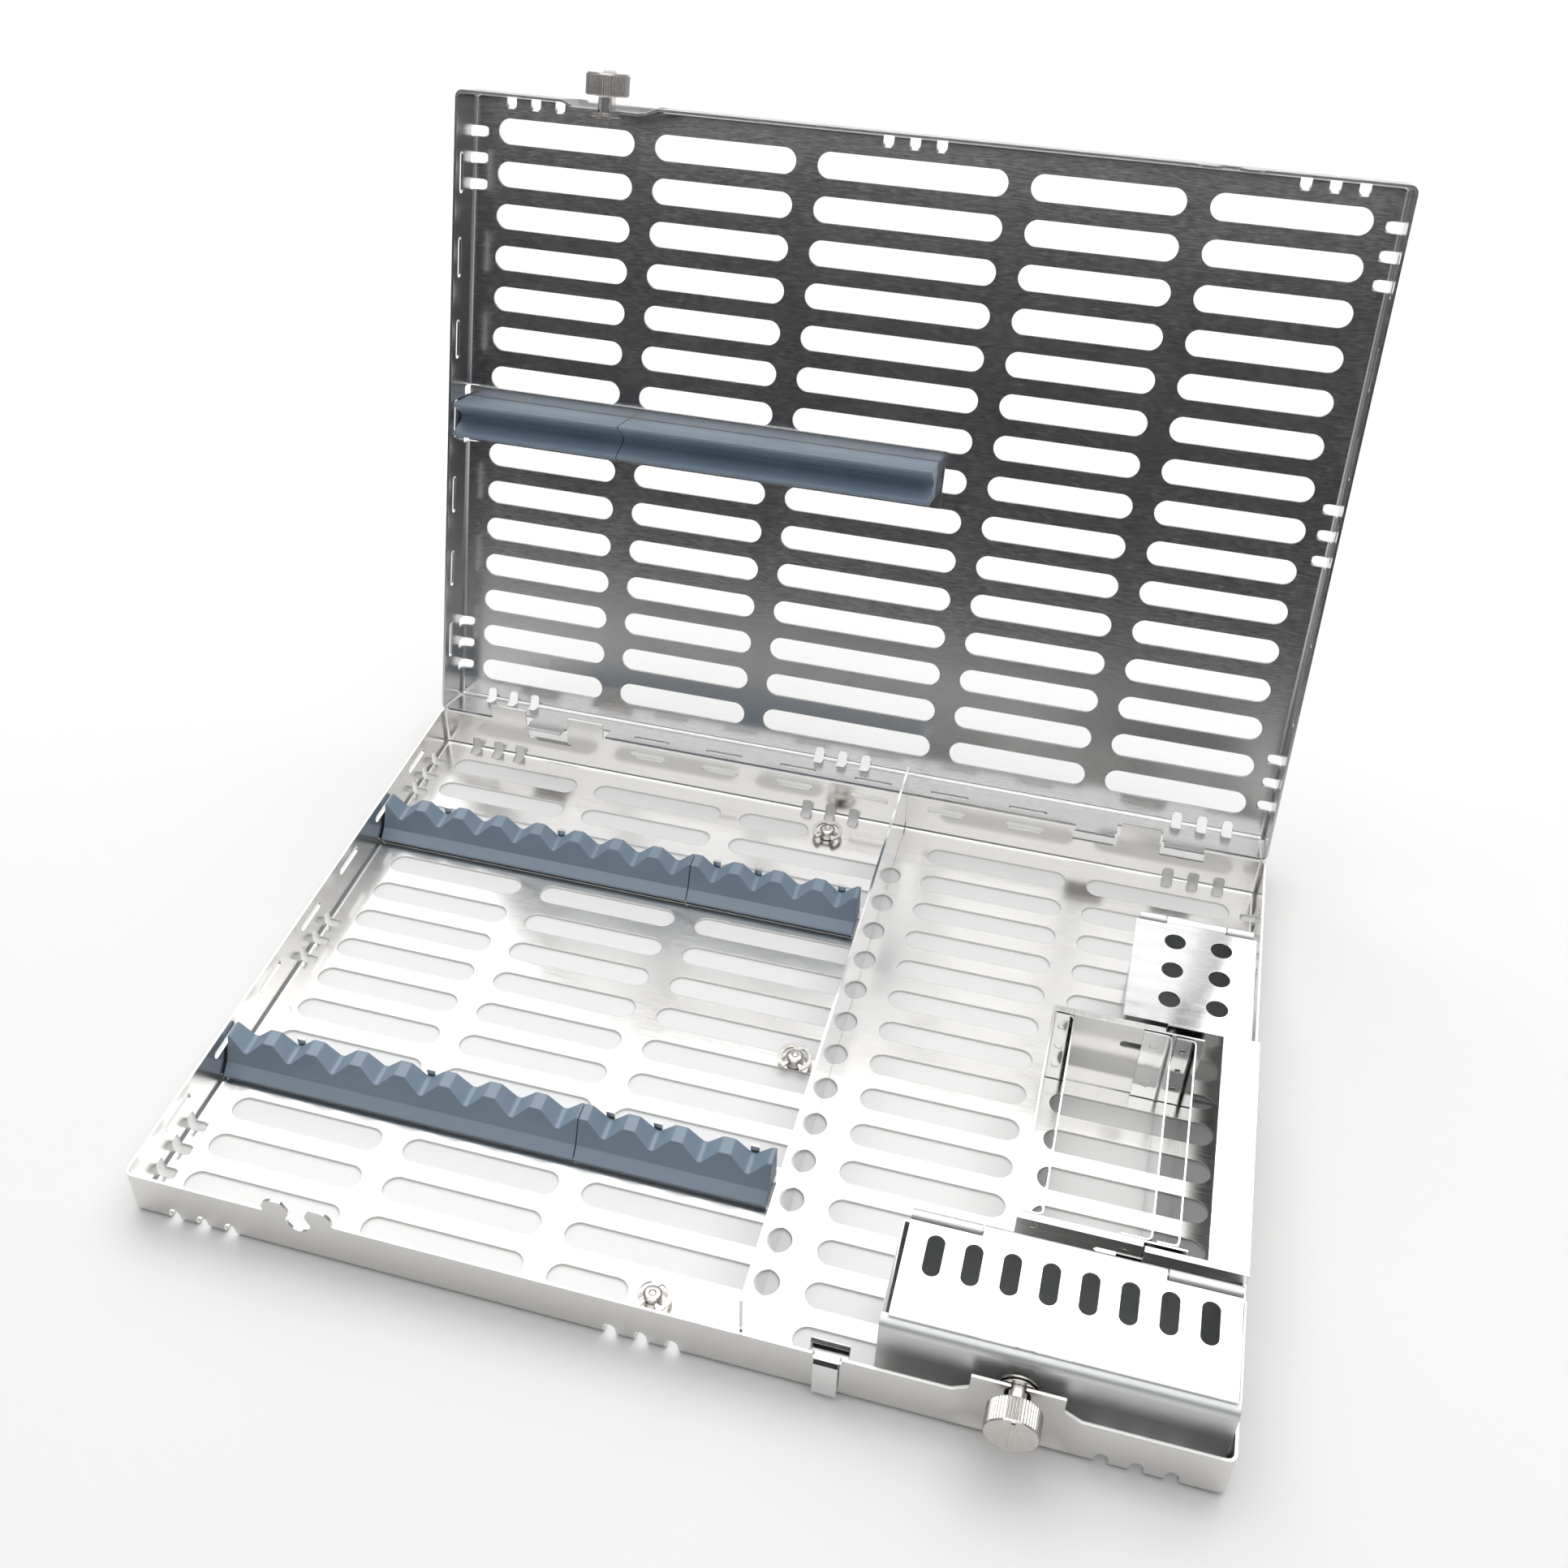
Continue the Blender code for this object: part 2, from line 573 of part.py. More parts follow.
def lid_rail(parent):
    """Two soft strips with a trough between two lips, and the steel strip that backs them."""
    panel = LID_HEIGHT - SHEET - GAP
    root = panel - SHEET - GAP
    half = LID_RAIL_HALF
    lip_outer = half - 0.4 * MM
    lip_inner = half - 1.6 * MM
    bed = 0.9 * MM
    shape = ((-half, root), (-lip_outer, LID_RAIL_LIP), (-lip_inner, LID_RAIL_LIP), (-bed, LID_RAIL_TROUGH))
    section = [(y - LID_RAIL_REACH, z) for y, z in shape]
    section += [(-y - LID_RAIL_REACH, z) for y, z in reversed(shape)]
    for side, low, high in strips(LID_RAIL_SEAM):
        bm = bmesh.new()
        add_prism(bm, section, low, high, across="X")
        add_object(f"lid_rail_{side}", mesh_of(bm, f"lid_rail_{side}"), SILICONE, parent)
    bm = bmesh.new()
    edge = half + LID_CARRIER_EDGE
    low = (RAIL_LEFT, -LID_RAIL_REACH - edge, panel - SHEET)
    add_box(bm, low, (RAIL_RIGHT + 2 * MM, -LID_RAIL_REACH + edge, panel))
    add_object("lid_rail_carrier", mesh_of(bm, "lid_rail_carrier"), STEEL, parent)


def divider(parent):
    """An upright sheet between the instrument side and the box side."""
    end = DEPTH / 2 - SHEET - GAP
    bm = bmesh.new()
    add_box(bm, (DIVIDER_X - SHEET / 2, -end, BOX_BOTTOM), (DIVIDER_X + SHEET / 2, end, DIVIDER_TOP))
    lower = [edge for edge in bm.edges if abs(edge.verts[0].co.x - edge.verts[1].co.x) > GAP]
    lower = [edge for edge in lower if all(v.co.z < BOX_BOTTOM + GAP for v in edge.verts)]
    bmesh.ops.bevel(bm, geom=lower, offset=DIVIDER_CHAMFER, segments=1, affect="EDGES")
    add_object("divider", mesh_of(bm, "divider"), BRIGHT_STEEL, parent)


def stud(label, place, parent):
    """A grooved stud on the floor and the open retaining clip in its groove."""
    x, y = (value * MM for value in place)
    groove = STUD_GROOVE
    profile = bpy.data.meshes.new(f"{label}_stud")
    rings = ((0.0, STUD_HEIGHT), (1.6, STUD_HEIGHT), (2.4, 2.6 * MM), (2.4, 2.4 * MM), (1.9, 2.4 * MM))
    rings += ((1.9, groove - GAP / 2), (2.5, groove - GAP / 2), (2.5, 0.0), (0.0, 0.0))
    points = [(radius * MM, 0.0, z) for radius, z in rings]
    profile.from_pydata(points, [(i, i + 1) for i in range(len(points) - 1)], [])
    body = add_object(f"{label}_stud", profile, BRIGHT_STEEL, parent)
    body.location = (x, y, BOX_BOTTOM)
    screw = body.modifiers.new("turned", "SCREW")
    screw.steps = 16
    screw.render_steps = 16
    screw.use_merge_vertices = True
    screw.merge_threshold = 0.0001

    bm = bmesh.new()
    half = STUD_CLIP_SHEET / 2
    add_prism(bm, clip_outline(), -half, half, across="Z")
    clip = add_object(f"{label}_stud_clip", mesh_of(bm, "clip"), STEEL, parent)
    clip.location = (x, y, BOX_BOTTOM + groove + GAP / 2 + half)


def clip_outline():
    """A retaining clip open towards -Y: a round outside and three lobes that reach the stud's groove."""
    steps = 27
    start = math.radians(-90 + CLIP_OPENING)
    sweep = math.radians(360 - 2 * CLIP_OPENING)
    outer = []
    inner = []
    for index in range(steps + 1):
        angle = start + sweep * index / steps
        lobe = index % (steps // 2) < 3 or index >= steps - 2
        reach = CLIP_LOBE if lobe else CLIP_INNER
        outer.append((CLIP_OUTER * math.cos(angle), CLIP_OUTER * math.sin(angle)))
        inner.append((reach * math.cos(angle), reach * math.sin(angle)))
    return outer + inner[::-1]


def wall_clip(parent):
    """A spring strip that grips the front wall: narrow outside, wide and curled inside."""
    outer = -DEPTH / 2
    inner = outer + SHEET
    stations = (
        (outer - 1.6 * MM, 1.3 * MM, CLIP_NARROW),
        (outer - 1.9 * MM, 7.0 * MM, CLIP_NARROW),
        (outer - 1.3 * MM, CLIP_BRIDGE - 1.2 * MM, CLIP_NARROW),
        (outer - 0.7 * MM, CLIP_BRIDGE, CLIP_NARROW),
        (inner + 0.7 * MM, CLIP_BRIDGE, CLIP_NARROW),
        (inner + 1.0 * MM, CLIP_BRIDGE, CLIP_WIDE),
        (inner + 3.8 * MM, CLIP_BRIDGE - 0.3 * MM, CLIP_WIDE),
        (inner + 4.4 * MM, CLIP_BRIDGE - 2.0 * MM, CLIP_WIDE),
        (inner + 3.8 * MM, CLIP_BRIDGE - 6.2 * MM, CLIP_WIDE),
        (inner + 1.4 * MM, CLIP_BRIDGE - 7.0 * MM, CLIP_WIDE),
    )
    bm = bmesh.new()
    rows = [[bm.verts.new((CLIP_X + side * half, y, z)) for side in (-1, 1)] for y, z, half in stations]
    for first, second in zip(rows, rows[1:]):
        bm.faces.new((first[0], first[1], second[1], second[0]))
    clip = add_object("wall_clip", mesh_of(bm, "wall_clip"), BRIGHT_STEEL, parent)
    solidify(clip, CLIP_SHEET, offset=0.0)


def open_sheet_box(name, low, high, open_sides, look, parent):
    """A folded sheet box that lacks the named sides."""
    bm = bmesh.new()
    add_box(bm, low, high)
    normals = {"top": (0, 0, 1), "bottom": (0, 0, -1), "front": (0, -1, 0), "back": (0, 1, 0)}
    normals.update({"left": (-1, 0, 0), "right": (1, 0, 0)})
    bm.normal_update()
    gone = [f for f in bm.faces if any(f.normal.dot(Vector(normals[side])) > 0.9 for side in open_sides)]
    bmesh.ops.delete(bm, geom=gone, context="FACES")
    obj = add_object(name, mesh_of(bm, name), look, parent)
    return obj


def round_fronted_box(name, low, high, parent):
    """A sheet box without a top whose front wall curls inwards along its upper edge."""
    bm = bmesh.new()
    add_box(bm, low, high)
    edge = [e for e in bm.edges if all(v.co.z > high[2] - GAP and v.co.y < low[1] + GAP for v in e.verts)]
    bmesh.ops.bevel(bm, geom=edge, offset=FRONT_CURL, segments=5, profile=0.5, affect="EDGES")
    bm.normal_update()
    top = [face for face in bm.faces if face.normal.z > 0.99]
    bmesh.ops.delete(bm, geom=top, context="FACES")
    return add_object(name, mesh_of(bm, name), STEEL, parent)


def hinged_box(prefix, low, high, hole_cutter, parent, plain=False):
    """A sheet box whose lid swings on a pin along its back edge; a plain lid is a flat plate."""
    skirt = 0.0 if plain else LID_SKIRT
    body_low = (low[0] + skirt, low[1] + skirt, BOX_BOTTOM)
    body_high = (high[0] - skirt, high[1], BOX_TOP - LID_SKIRT_DROP)
    if plain:
        body = round_fronted_box(f"{prefix}_body", body_low, body_high, parent)
        low = (low[0] + PLATE_INSET, low[1] + PLATE_INSET)
        high = (high[0] - PLATE_INSET / 2, high[1])
        open_sides = ("bottom", "back", "front", "left", "right")
    else:
        body = open_sheet_box(f"{prefix}_body", body_low, body_high, ("top",), STEEL, parent)
        open_sides = ("bottom", "back")
    solidify(body, BOX_SHEET)
    pin_y = high[1] + BARREL_RADIUS + 0.2 * MM
    pin_z = BOX_TOP - PIN_DROP
    length = high[0] - low[0]
    barrel = BARREL_SHARE * length

    leaves = bmesh.new()
    barrels = bmesh.new()
    for side in (low[0] + skirt + barrel / 2, high[0] - skirt - barrel / 2):
        add_rod(barrels, BARREL_RADIUS, barrel, facing_x(side, pin_y, pin_z), segments=12)
        leaf_top = pin_z - PIN_RADIUS - 0.2 * MM
        add_box(
            leaves,
            (side - barrel / 2, high[1] - BOX_SHEET / 2, leaf_top - 0.4 * MM),
            (side + barrel / 2, pin_y, leaf_top),
        )
    boolean(body, cutter(f"{prefix}_body_leaves", leaves, parent), "UNION")
    boolean(body, cutter(f"{prefix}_body_barrels", barrels, parent), "UNION")

    axis = bpy.data.objects.new(f"{prefix}_lid_axis", None)
    parts.objects.link(axis)
    axis.parent = parent
    axis.location = (0.0, pin_y, pin_z)
    lid_low = (low[0], low[1] - pin_y, -2.0 * MM)
    lid_high = (high[0], 0.0, PIN_DROP)
    lid = open_sheet_box(f"{prefix}_lid", lid_low, lid_high, open_sides, BRIGHT_STEEL, axis)
    solidify(lid, BOX_SHEET)
    middle = (low[0] + high[0]) / 2
    inner = length - 2 * (skirt + barrel) - 2 * GAP
    bm = bmesh.new()
    relief = -BARREL_RADIUS - 2 * GAP
    add_box(bm, (low[0] - MM, relief, -4 * MM), (middle - inner / 2, MM, 4 * MM))
    add_box(bm, (middle + inner / 2, relief, -4 * MM), (high[0] + MM, MM, 4 * MM))
    boolean(lid, cutter(f"{prefix}_lid_relief", bm, axis))
    bm = bmesh.new()
    add_rod(bm, BARREL_RADIUS, inner, facing_x(middle, 0, 0), segments=12)
    boolean(lid, cutter(f"{prefix}_lid_barrel", bm, axis), "UNION")
    boolean(lid, cutter(f"{prefix}_lid_holes", hole_cutter, parent))
    for owner, label in ((body, "body"), (lid, "lid")):
        bm = bmesh.new()
        add_rod(bm, PIN_RADIUS + GAP, 2 * length, facing_x(middle, pin_y, pin_z), segments=12)
        boolean(owner, cutter(f"{prefix}_{label}_pin_bore", bm, parent))
    bm = bmesh.new()
    add_rod(bm, PIN_RADIUS, length - 2 * skirt, facing_x(middle, pin_y, pin_z), segments=12)
    add_object(f"{prefix}_hinge_pin", mesh_of(bm, f"{prefix}_hinge_pin"), BRIGHT_STEEL, parent)


def bur_box(parent):
    """A block box whose lid has six round holes."""
    holes = bmesh.new()
    for x in BUR_HOLES_X:
        for y in BUR_HOLES_Y:
            place = Matrix.Translation((x, y, BOX_TOP))
            add_rod(holes, BUR_HOLE_RADIUS, 8 * MM, place, segments=24)
    hinged_box("bur_box", *BUR_BOX, holes, parent)


def slotted_box(parent):
    """A long box behind the front wall whose lid has eight round-ended slots."""
    slots = bmesh.new()
    for index in range(8):
        place = Matrix.Translation((COVER_SLOT_X + COVER_SLOT_PITCH * index, COVER_SLOT_Y, BOX_TOP))
        turn = Matrix.Rotation(math.pi / 2, 4, "Z")
        add_slot(slots, COVER_SLOT_LENGTH, COVER_SLOT_WIDTH, 8 * MM, place @ turn, segments=12)
    hinged_box("slotted_box", *SLOTTED_BOX, slots, parent, plain=True)


def hem_outline(y, outward, z, reach):
    """The section of a rim folded outwards and down; y is in the wall's middle, and z is its top."""
    inner = reach - HEM_SHEET
    lower = z - HEM_SHEET
    shape = ((0.0, lower), (inner, lower), (inner, z - HEM_DROP), (reach, z - HEM_DROP), (reach, z), (0.0, z))
    return [(y + outward * offset, level) for offset, level in shape]


def parts_box_sleeve(parent):
    """The fixed right half, covered along its right edge only."""
    low = (SLEEVE_LEFT, DRAWER_FRONT - SLEEVE_LAP, BOX_BOTTOM)
    high = (SLEEVE_RIGHT, DRAWER_BACK + SLEEVE_LAP, SLEEVE_TOP)
    sleeve = open_sheet_box("parts_box_sleeve", low, high, ("bottom", "left"), STEEL, parent)
    solidify(sleeve, BOX_SHEET)
    bm = bmesh.new()
    mouth_low = (SLEEVE_LEFT - MM, low[1] + BOX_SHEET, SLEEVE_TOP - 4 * MM)
    add_box(bm, mouth_low, (SLEEVE_COVER, high[1] - BOX_SHEET, SLEEVE_TOP + MM))
    boolean(sleeve, cutter("parts_box_sleeve_mouth", bm, parent))
    bm = bmesh.new()
    outline = hem_outline(low[1] + BOX_SHEET / 2, -1, SLEEVE_TOP, SLEEVE_HEM)
    add_prism(bm, outline, SLEEVE_LEFT, SLEEVE_RIGHT, across="X")
    boolean(sleeve, cutter("parts_box_sleeve_hem", bm, parent), "UNION")
    return sleeve


def parts_box_drawer(parent):
    """The sliding left half, open to the right, with a hem along its front and back walls."""
    low = (DRAWER_LEFT, DRAWER_FRONT, BOX_BOTTOM)
    high = (DRAWER_RIGHT, DRAWER_BACK, DRAWER_TOP)
    drawer = open_sheet_box("parts_box_drawer", low, high, ("top", "bottom", "right"), STEEL, parent)
    solidify(drawer, BOX_SHEET)
    for wall_y, side in ((DRAWER_FRONT, -1), (DRAWER_BACK, 1)):
        bm = bmesh.new()
        outline = hem_outline(wall_y - side * BOX_SHEET / 2, side, DRAWER_TOP, DRAWER_HEM)
        add_prism(bm, outline, DRAWER_LEFT, SLEEVE_LEFT - GAP, across="X")
        boolean(drawer, cutter(f"parts_box_drawer_hem_{side}", bm, parent), "UNION")
    return drawer


def parts_box_rivet(label, wall_y, side, sleeve, drawer, parent):
    """A rivet in the sleeve's wall that runs in a slot of the drawer's wall."""
    bm = bmesh.new()
    add_rod(bm, RIVET_RADIUS + GAP, 4 * BOX_SHEET, facing_y(RIVET_X, wall_y, RIVET_Z), segments=12)
    boolean(sleeve, cutter(f"parts_box_{label}_hole", bm, parent))

    bm = bmesh.new()
    slot_y = wall_y - side * (SLEEVE_LAP + BOX_SHEET / 2)
    length = SLIDE_TRAVEL + SLIDE_SLOT_WIDTH + 2 * GAP
    add_slot(
        bm,
        length,
        SLIDE_SLOT_WIDTH,
        3 * BOX_SHEET,
        facing_y(RIVET_X - SLIDE_TRAVEL / 2, slot_y, RIVET_Z),
    )
    boolean(drawer, cutter(f"parts_box_{label}_slot", bm, parent))

    bm = bmesh.new()
    outer_y = wall_y + side * GAP
    length = abs(outer_y - slot_y)
    shank = facing_y(RIVET_X, (outer_y + slot_y) / 2, RIVET_Z)
    add_rod(bm, RIVET_RADIUS, length, shank, segments=12)
    rivet = add_object(f"parts_box_{label}_rivet", mesh_of(bm, "rivet"), BRIGHT_STEEL, parent)
    bm = bmesh.new()
    head_y = outer_y + side * (RIVET_HEAD_THICK / 2 - 0.05 * MM)
    add_rod(bm, RIVET_HEAD, RIVET_HEAD_THICK, facing_y(RIVET_X, head_y, RIVET_Z))
    boolean(rivet, cutter(f"parts_box_{label}_rivet_head", bm, parent), "UNION")


def parts_box_partition(number, x_high, flange, parent):
    """A plate across the drawer whose two ends are bent round along the drawer's walls."""
    clear = BOX_SHEET + GAP
    low = (x_high - flange, DRAWER_FRONT + clear, BOX_BOTTOM)
    high = (x_high, DRAWER_BACK - clear, DRAWER_TOP - 0.2 * MM)
    bm = bmesh.new()
    add_box(bm, low, high)
    upright = [e for e in bm.edges if abs(e.verts[0].co.z - e.verts[1].co.z) > MM]
    upright = [e for e in upright if e.verts[0].co.x > x_high - GAP]
    bmesh.ops.bevel(bm, geom=upright, offset=PARTITION_BEND, segments=3, profile=0.5, affect="EDGES")
    bm.normal_update()
    normals = (Vector((0, 0, 1)), Vector((0, 0, -1)), Vector((-1, 0, 0)))
    gone = [face for face in bm.faces if any(face.normal.dot(normal) > 0.9 for normal in normals)]
    bmesh.ops.delete(bm, geom=gone, context="FACES")
    name = f"parts_box_partition_{number}"
    plate = add_object(name, mesh_of(bm, name), BRIGHT_STEEL, parent)
    solidify(plate, PARTITION_SHEET)


def parts_box(parent):
    """A box in two halves: the left drawer slides into the right sleeve and carries three partitions."""
    sleeve = parts_box_sleeve(parent)
    drawer = parts_box_drawer(parent)
    parts_box_rivet("front", DRAWER_FRONT - SLEEVE_LAP, -1, sleeve, drawer, parent)
    parts_box_rivet("back", DRAWER_BACK + SLEEVE_LAP, 1, sleeve, drawer, parent)
    for number, (x_high, flange) in enumerate(PARTITIONS, start=1):
        parts_box_partition(number, x_high, flange, parent)


def base(root):
    stud_gap = 6.6 * MM
    last = ROWS_EACH_WAY
    front_stud = STUDS["front"][0] * MM
    back_stud = STUDS["back"][0] * MM
    shortened = {(-last, 2): front_stud - stud_gap, (last, 2): back_stud - stud_gap}
    pressed_tray(
        "base_tray", BASE_HEIGHT, BASE_TAB_HEIGHTS, BASE_NOTCH_DEPTH, root, shortened, clip=True
    )
    latch_knob("base", BASE_HEIGHT + LATCH_OFFSET, root)
    divider(root)
    for label, front in zip(("front", "back"), RAIL_FRONT_Y):
        base_rail(label, front, root)
    for label, place in STUDS.items():
        stud(label, place, root)
    wall_clip(root)
    bur_box(root)
    slotted_box(root)
    parts_box(root)


def lid(root):
    """The lid is made closed, hinge axis at its own origin, and then swung open."""
    axis = bpy.data.objects.new("lid_axis", None)
    parts.objects.link(axis)
    axis.parent = root
    axis.location = (0.0, AXIS_Y, BASE_HEIGHT)
    axis.rotation_euler = (-OPEN_ANGLE, 0.0, 0.0)
    turned = bpy.data.objects.new("lid_turned_over", None)
    parts.objects.link(turned)
    turned.parent = axis
    turned.location = (0.0, -AXIS_Y, LID_HEIGHT)
    turned.rotation_euler = (0.0, math.pi, 0.0)
    pressed_tray("lid_tray", LID_HEIGHT, LID_TAB_HEIGHTS, LID_NOTCH_DEPTH, turned)
    latch_knob("lid", LID_HEIGHT + LATCH_OFFSET, turned)
    lid_rail(axis)


for old in list(bpy.data.objects):
    bpy.data.objects.remove(old, do_unlink=True)
parts = collection("instrument_tray")
cutters = collection("cutters")
frame_origin = bpy.data.objects.new("frame_origin", None)
parts.objects.link(frame_origin)
frame_origin.location = (0.0, FRAME_SHIFT_Y, 0.0)
base(frame_origin)
lid(frame_origin)
for mesh_object in parts.objects:
    if mesh_object.type == "MESH" and mesh_object.data.polygons:
        mesh_object.data.shade_smooth()
        mesh_object.data.set_sharp_from_angle(angle=math.radians(25))
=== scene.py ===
"""Looks for the hinged instrument tray: fine pieces, materials, floor, light and camera."""

import json
import math

import bmesh
import bpy
from mathutils import Matrix, Vector

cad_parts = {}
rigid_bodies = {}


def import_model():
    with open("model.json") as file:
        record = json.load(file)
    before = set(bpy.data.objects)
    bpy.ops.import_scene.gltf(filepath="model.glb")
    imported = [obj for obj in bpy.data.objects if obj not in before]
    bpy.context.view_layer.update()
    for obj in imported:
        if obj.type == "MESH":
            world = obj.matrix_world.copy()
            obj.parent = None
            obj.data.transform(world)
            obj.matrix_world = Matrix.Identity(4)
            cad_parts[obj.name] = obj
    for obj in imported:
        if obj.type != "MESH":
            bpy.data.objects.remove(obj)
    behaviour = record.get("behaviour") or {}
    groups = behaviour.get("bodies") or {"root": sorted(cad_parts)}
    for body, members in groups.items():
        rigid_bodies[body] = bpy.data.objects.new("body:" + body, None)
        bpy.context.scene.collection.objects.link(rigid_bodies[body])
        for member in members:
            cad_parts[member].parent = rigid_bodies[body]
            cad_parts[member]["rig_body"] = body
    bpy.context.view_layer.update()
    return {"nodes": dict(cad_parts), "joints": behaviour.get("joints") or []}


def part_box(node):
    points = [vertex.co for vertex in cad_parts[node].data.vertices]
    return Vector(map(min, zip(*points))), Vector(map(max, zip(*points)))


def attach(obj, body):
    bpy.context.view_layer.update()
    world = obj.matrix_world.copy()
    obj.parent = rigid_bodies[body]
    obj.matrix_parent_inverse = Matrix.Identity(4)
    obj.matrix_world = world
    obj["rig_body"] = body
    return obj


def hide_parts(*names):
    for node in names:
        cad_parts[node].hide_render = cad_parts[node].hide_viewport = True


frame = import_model()
NODES = frame["nodes"]
HINGE = next(joint for joint in frame["joints"] if joint["name"] == "lid_hinge")
MM = 0.001
GAP = 0.3 * MM

# Trays, drawn as the CAD draws them but with finer rounds
TRAY_LOW, TRAY_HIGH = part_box("base_tray")
WIDTH = TRAY_HIGH.x - TRAY_LOW.x
DEPTH = TRAY_HIGH.y - TRAY_LOW.y
BASE_HEIGHT = HINGE["pos_m"][2]
LID_HEIGHT = 16.37 * MM
SHEET = 0.8 * MM
BEND_RADIUS = 2.0 * MM
CORNER_RADIUS = 2.3 * MM
RIM_GAP = 0.15 * MM
AXIS_Y = DEPTH / 2 - SHEET / 2
HINGE_RIM_DROP = 0.6 * MM
HINGE_TABS = ((-120.6, -108.1), (-92.7, -80.2), (94.3, 106.8))
HOOKED_TAB = 2
HINGE_NOTCHES = ((-107.6, -93.2), (79.7, 93.8), (107.3, 121.1))
TAB_LIP = 1.1 * MM
BASE_TAB_HEIGHTS = (5.6 * MM, 5.6 * MM, 5.6 * MM)
LID_TAB_HEIGHTS = (3.4 * MM, 3.4 * MM, 4.9 * MM)
BASE_NOTCH_DEPTH = 5.4 * MM
LID_NOTCH_DEPTH = 6.6 * MM
HINGE_SLIT = (-99.0 * MM, 9.5 * MM, 14.0 * MM, 0.7 * MM)

# Perforation
ROW_PITCH = 12.86 * MM
ROWS_EACH_WAY = 7
SLOT_WIDTH = 7.7 * MM
COLUMN_CENTRES = (-109.05, -57.75, 0.0, 57.75, 109.05)
COLUMN_LENGTHS = (44.7, 44.7, 57.5, 44.7, 44.7)
WALL_SLOT_LENGTH = 12.6 * MM
WALL_SLOT_WIDTH = 2.6 * MM
WALL_SLOT_DROP = 4.5 * MM
BACK_WALL_ROWS = (-5, -3, -1, 1, 3, 5)
SIDE_WALL_ROWS = (-6, -4, -2, 0, 2, 4, 6)
NOTCH_WIDTH = 3.3 * MM
NOTCH_REACH = 5.2 * MM
NOTCH_LENGTH = 1.31 * NOTCH_REACH
NOTCH_PITCH = 8.0 * MM
NOTCH_GROUPS_X = (-119.4 * MM, 0.0, 119.4 * MM)
NOTCH_GROUPS_Y = (-81.3 * MM, 0.0, 81.3 * MM)
STUD_BLANK = 6.6 * MM

# Latches
LATCH_X = 90.3 * MM
LATCH_OFFSET = 1.95 * MM
POCKET_DEPTH = 1.6 * MM
POCKET_HALF = 10.9 * MM
POCKET_FLANK = 4.0 * MM
POCKET_FLOOR = 3.4 * MM
LATCH_TAB_RISE = 4.65 * MM
HOOK_HALF = 9.6 * MM
HOOK_ROUND = 3.4 * MM
HOOK_NOTCH_RADIUS = 3.3 * MM
HOOK_FLARE = 2.0 * MM
HOOK_MOUTH = 4.9 * MM
STEM_BORE = 3.15 * MM
KNOB_RADIUS = 6.5 * MM
KNOB_LENGTH = 7.0 * MM
KNOB_CLEARANCE = 2.2 * MM
KNOB_RIB = 0.9 * MM
KNOB_FLAT = 0.6 * MM
KNOB_TOOTH = 0.28 * MM

# Rails
RAIL_BOTTOM = 2.2 * MM
RAIL_TOP = 12.8 * MM
LOBE_PITCH = 13.27 * MM
LOBE_START = -126.0 * MM
LOBE_FLAT = 1.6 * MM
LOBE_SLOPE = 4.4 * MM
VALLEY_DEPTH = 4.0 * MM
RAIL_TOE_Y = 2.8 * MM
RAIL_TOE_Z = 5.4 * MM
RAIL_CREST_Y = 5.9 * MM
RAIL_STEP = 0.34 * MM
RAIL_ROUND = 0.22 * MM
LOBE_ROUND = 0.07 * MM
LID_RAIL_REACH = 101.5 * MM
LID_RAIL_HALF = 5.8 * MM
LID_RAIL_LIP = 1.0 * MM
LID_RAIL_TROUGH = 8.2 * MM
LID_RAIL_ROOT = 14.17 * MM
LID_RAIL_EDGE = 1.5 * MM
TROUGH_POWER = 1.35

# Studs, clips, box covers and partitions
STUD_GROOVE = 1.5 * MM
CLIP_OUTER = 4.9 * MM
CLIP_INNER = 3.8 * MM
CLIP_LOBE = 2.2 * MM
CLIP_OPENING = 28
CLIP_LOBE_REACH = 0.055
CLIP_LOBE_STEEPNESS = 150
CLIP_X = 46.2 * MM
CLIP_NOTCH_HALF = 3.5 * MM
CLIP_NOTCH_DEPTH = 1.7 * MM
CLIP_NARROW = 3.0 * MM
CLIP_WIDE = 4.8 * MM
CLIP_SHEET = 0.4 * MM
CLIP_BRIDGE = BASE_HEIGHT - 0.95 * MM
SLITS_IN_GROUP = 4
BUR_HOLES_X = (113.5 * MM, 126.4 * MM)
BUR_HOLES_Y = (21.6 * MM, 33.0 * MM, 44.4 * MM)
BUR_HOLE_RADIUS = 2.9 * MM
COVER_TOP = 28.0 * MM
COVER_SLOTS = 8
COVER_SLOT_X = 65.8 * MM
COVER_SLOT_Y = -76.6 * MM
COVER_SLOT_PITCH = 9.2 * MM
COVER_SLOT_LENGTH = 11.4 * MM
COVER_SLOT_WIDTH = 4.2 * MM
HOLE_TRIM = 0.06 * MM
SLIT_PITCH = 1.1 * MM
SLIT_INSET = 7.0 * MM
WELD_RADIUS = 1.15 * MM
WELD_DEPTH = 0.09 * MM

# Shading
SHARP_ANGLE = 32
RAIL_SHARP_ANGLE = 18
KNOB_SHARP_ANGLE = 24
SAME_POINT = 1e-6
FLAT_ANGLE = 0.3
FLOOR_TINTS = ((0.9, 0.893, 0.882), (0.925, 0.918, 0.907))

# Camera, solved from the tray's corners, rims and slot rows; angles in degrees
CAMERA_PLACE = (0.0818, -0.3458, 0.3732)
CAMERA_LENS = 38.32
CAMERA_SHIFT = (0.0317, -0.0409)
CAMERA_YAW = -15.582
CAMERA_PITCH = 38.285
CAMERA_ROLL = 0.398

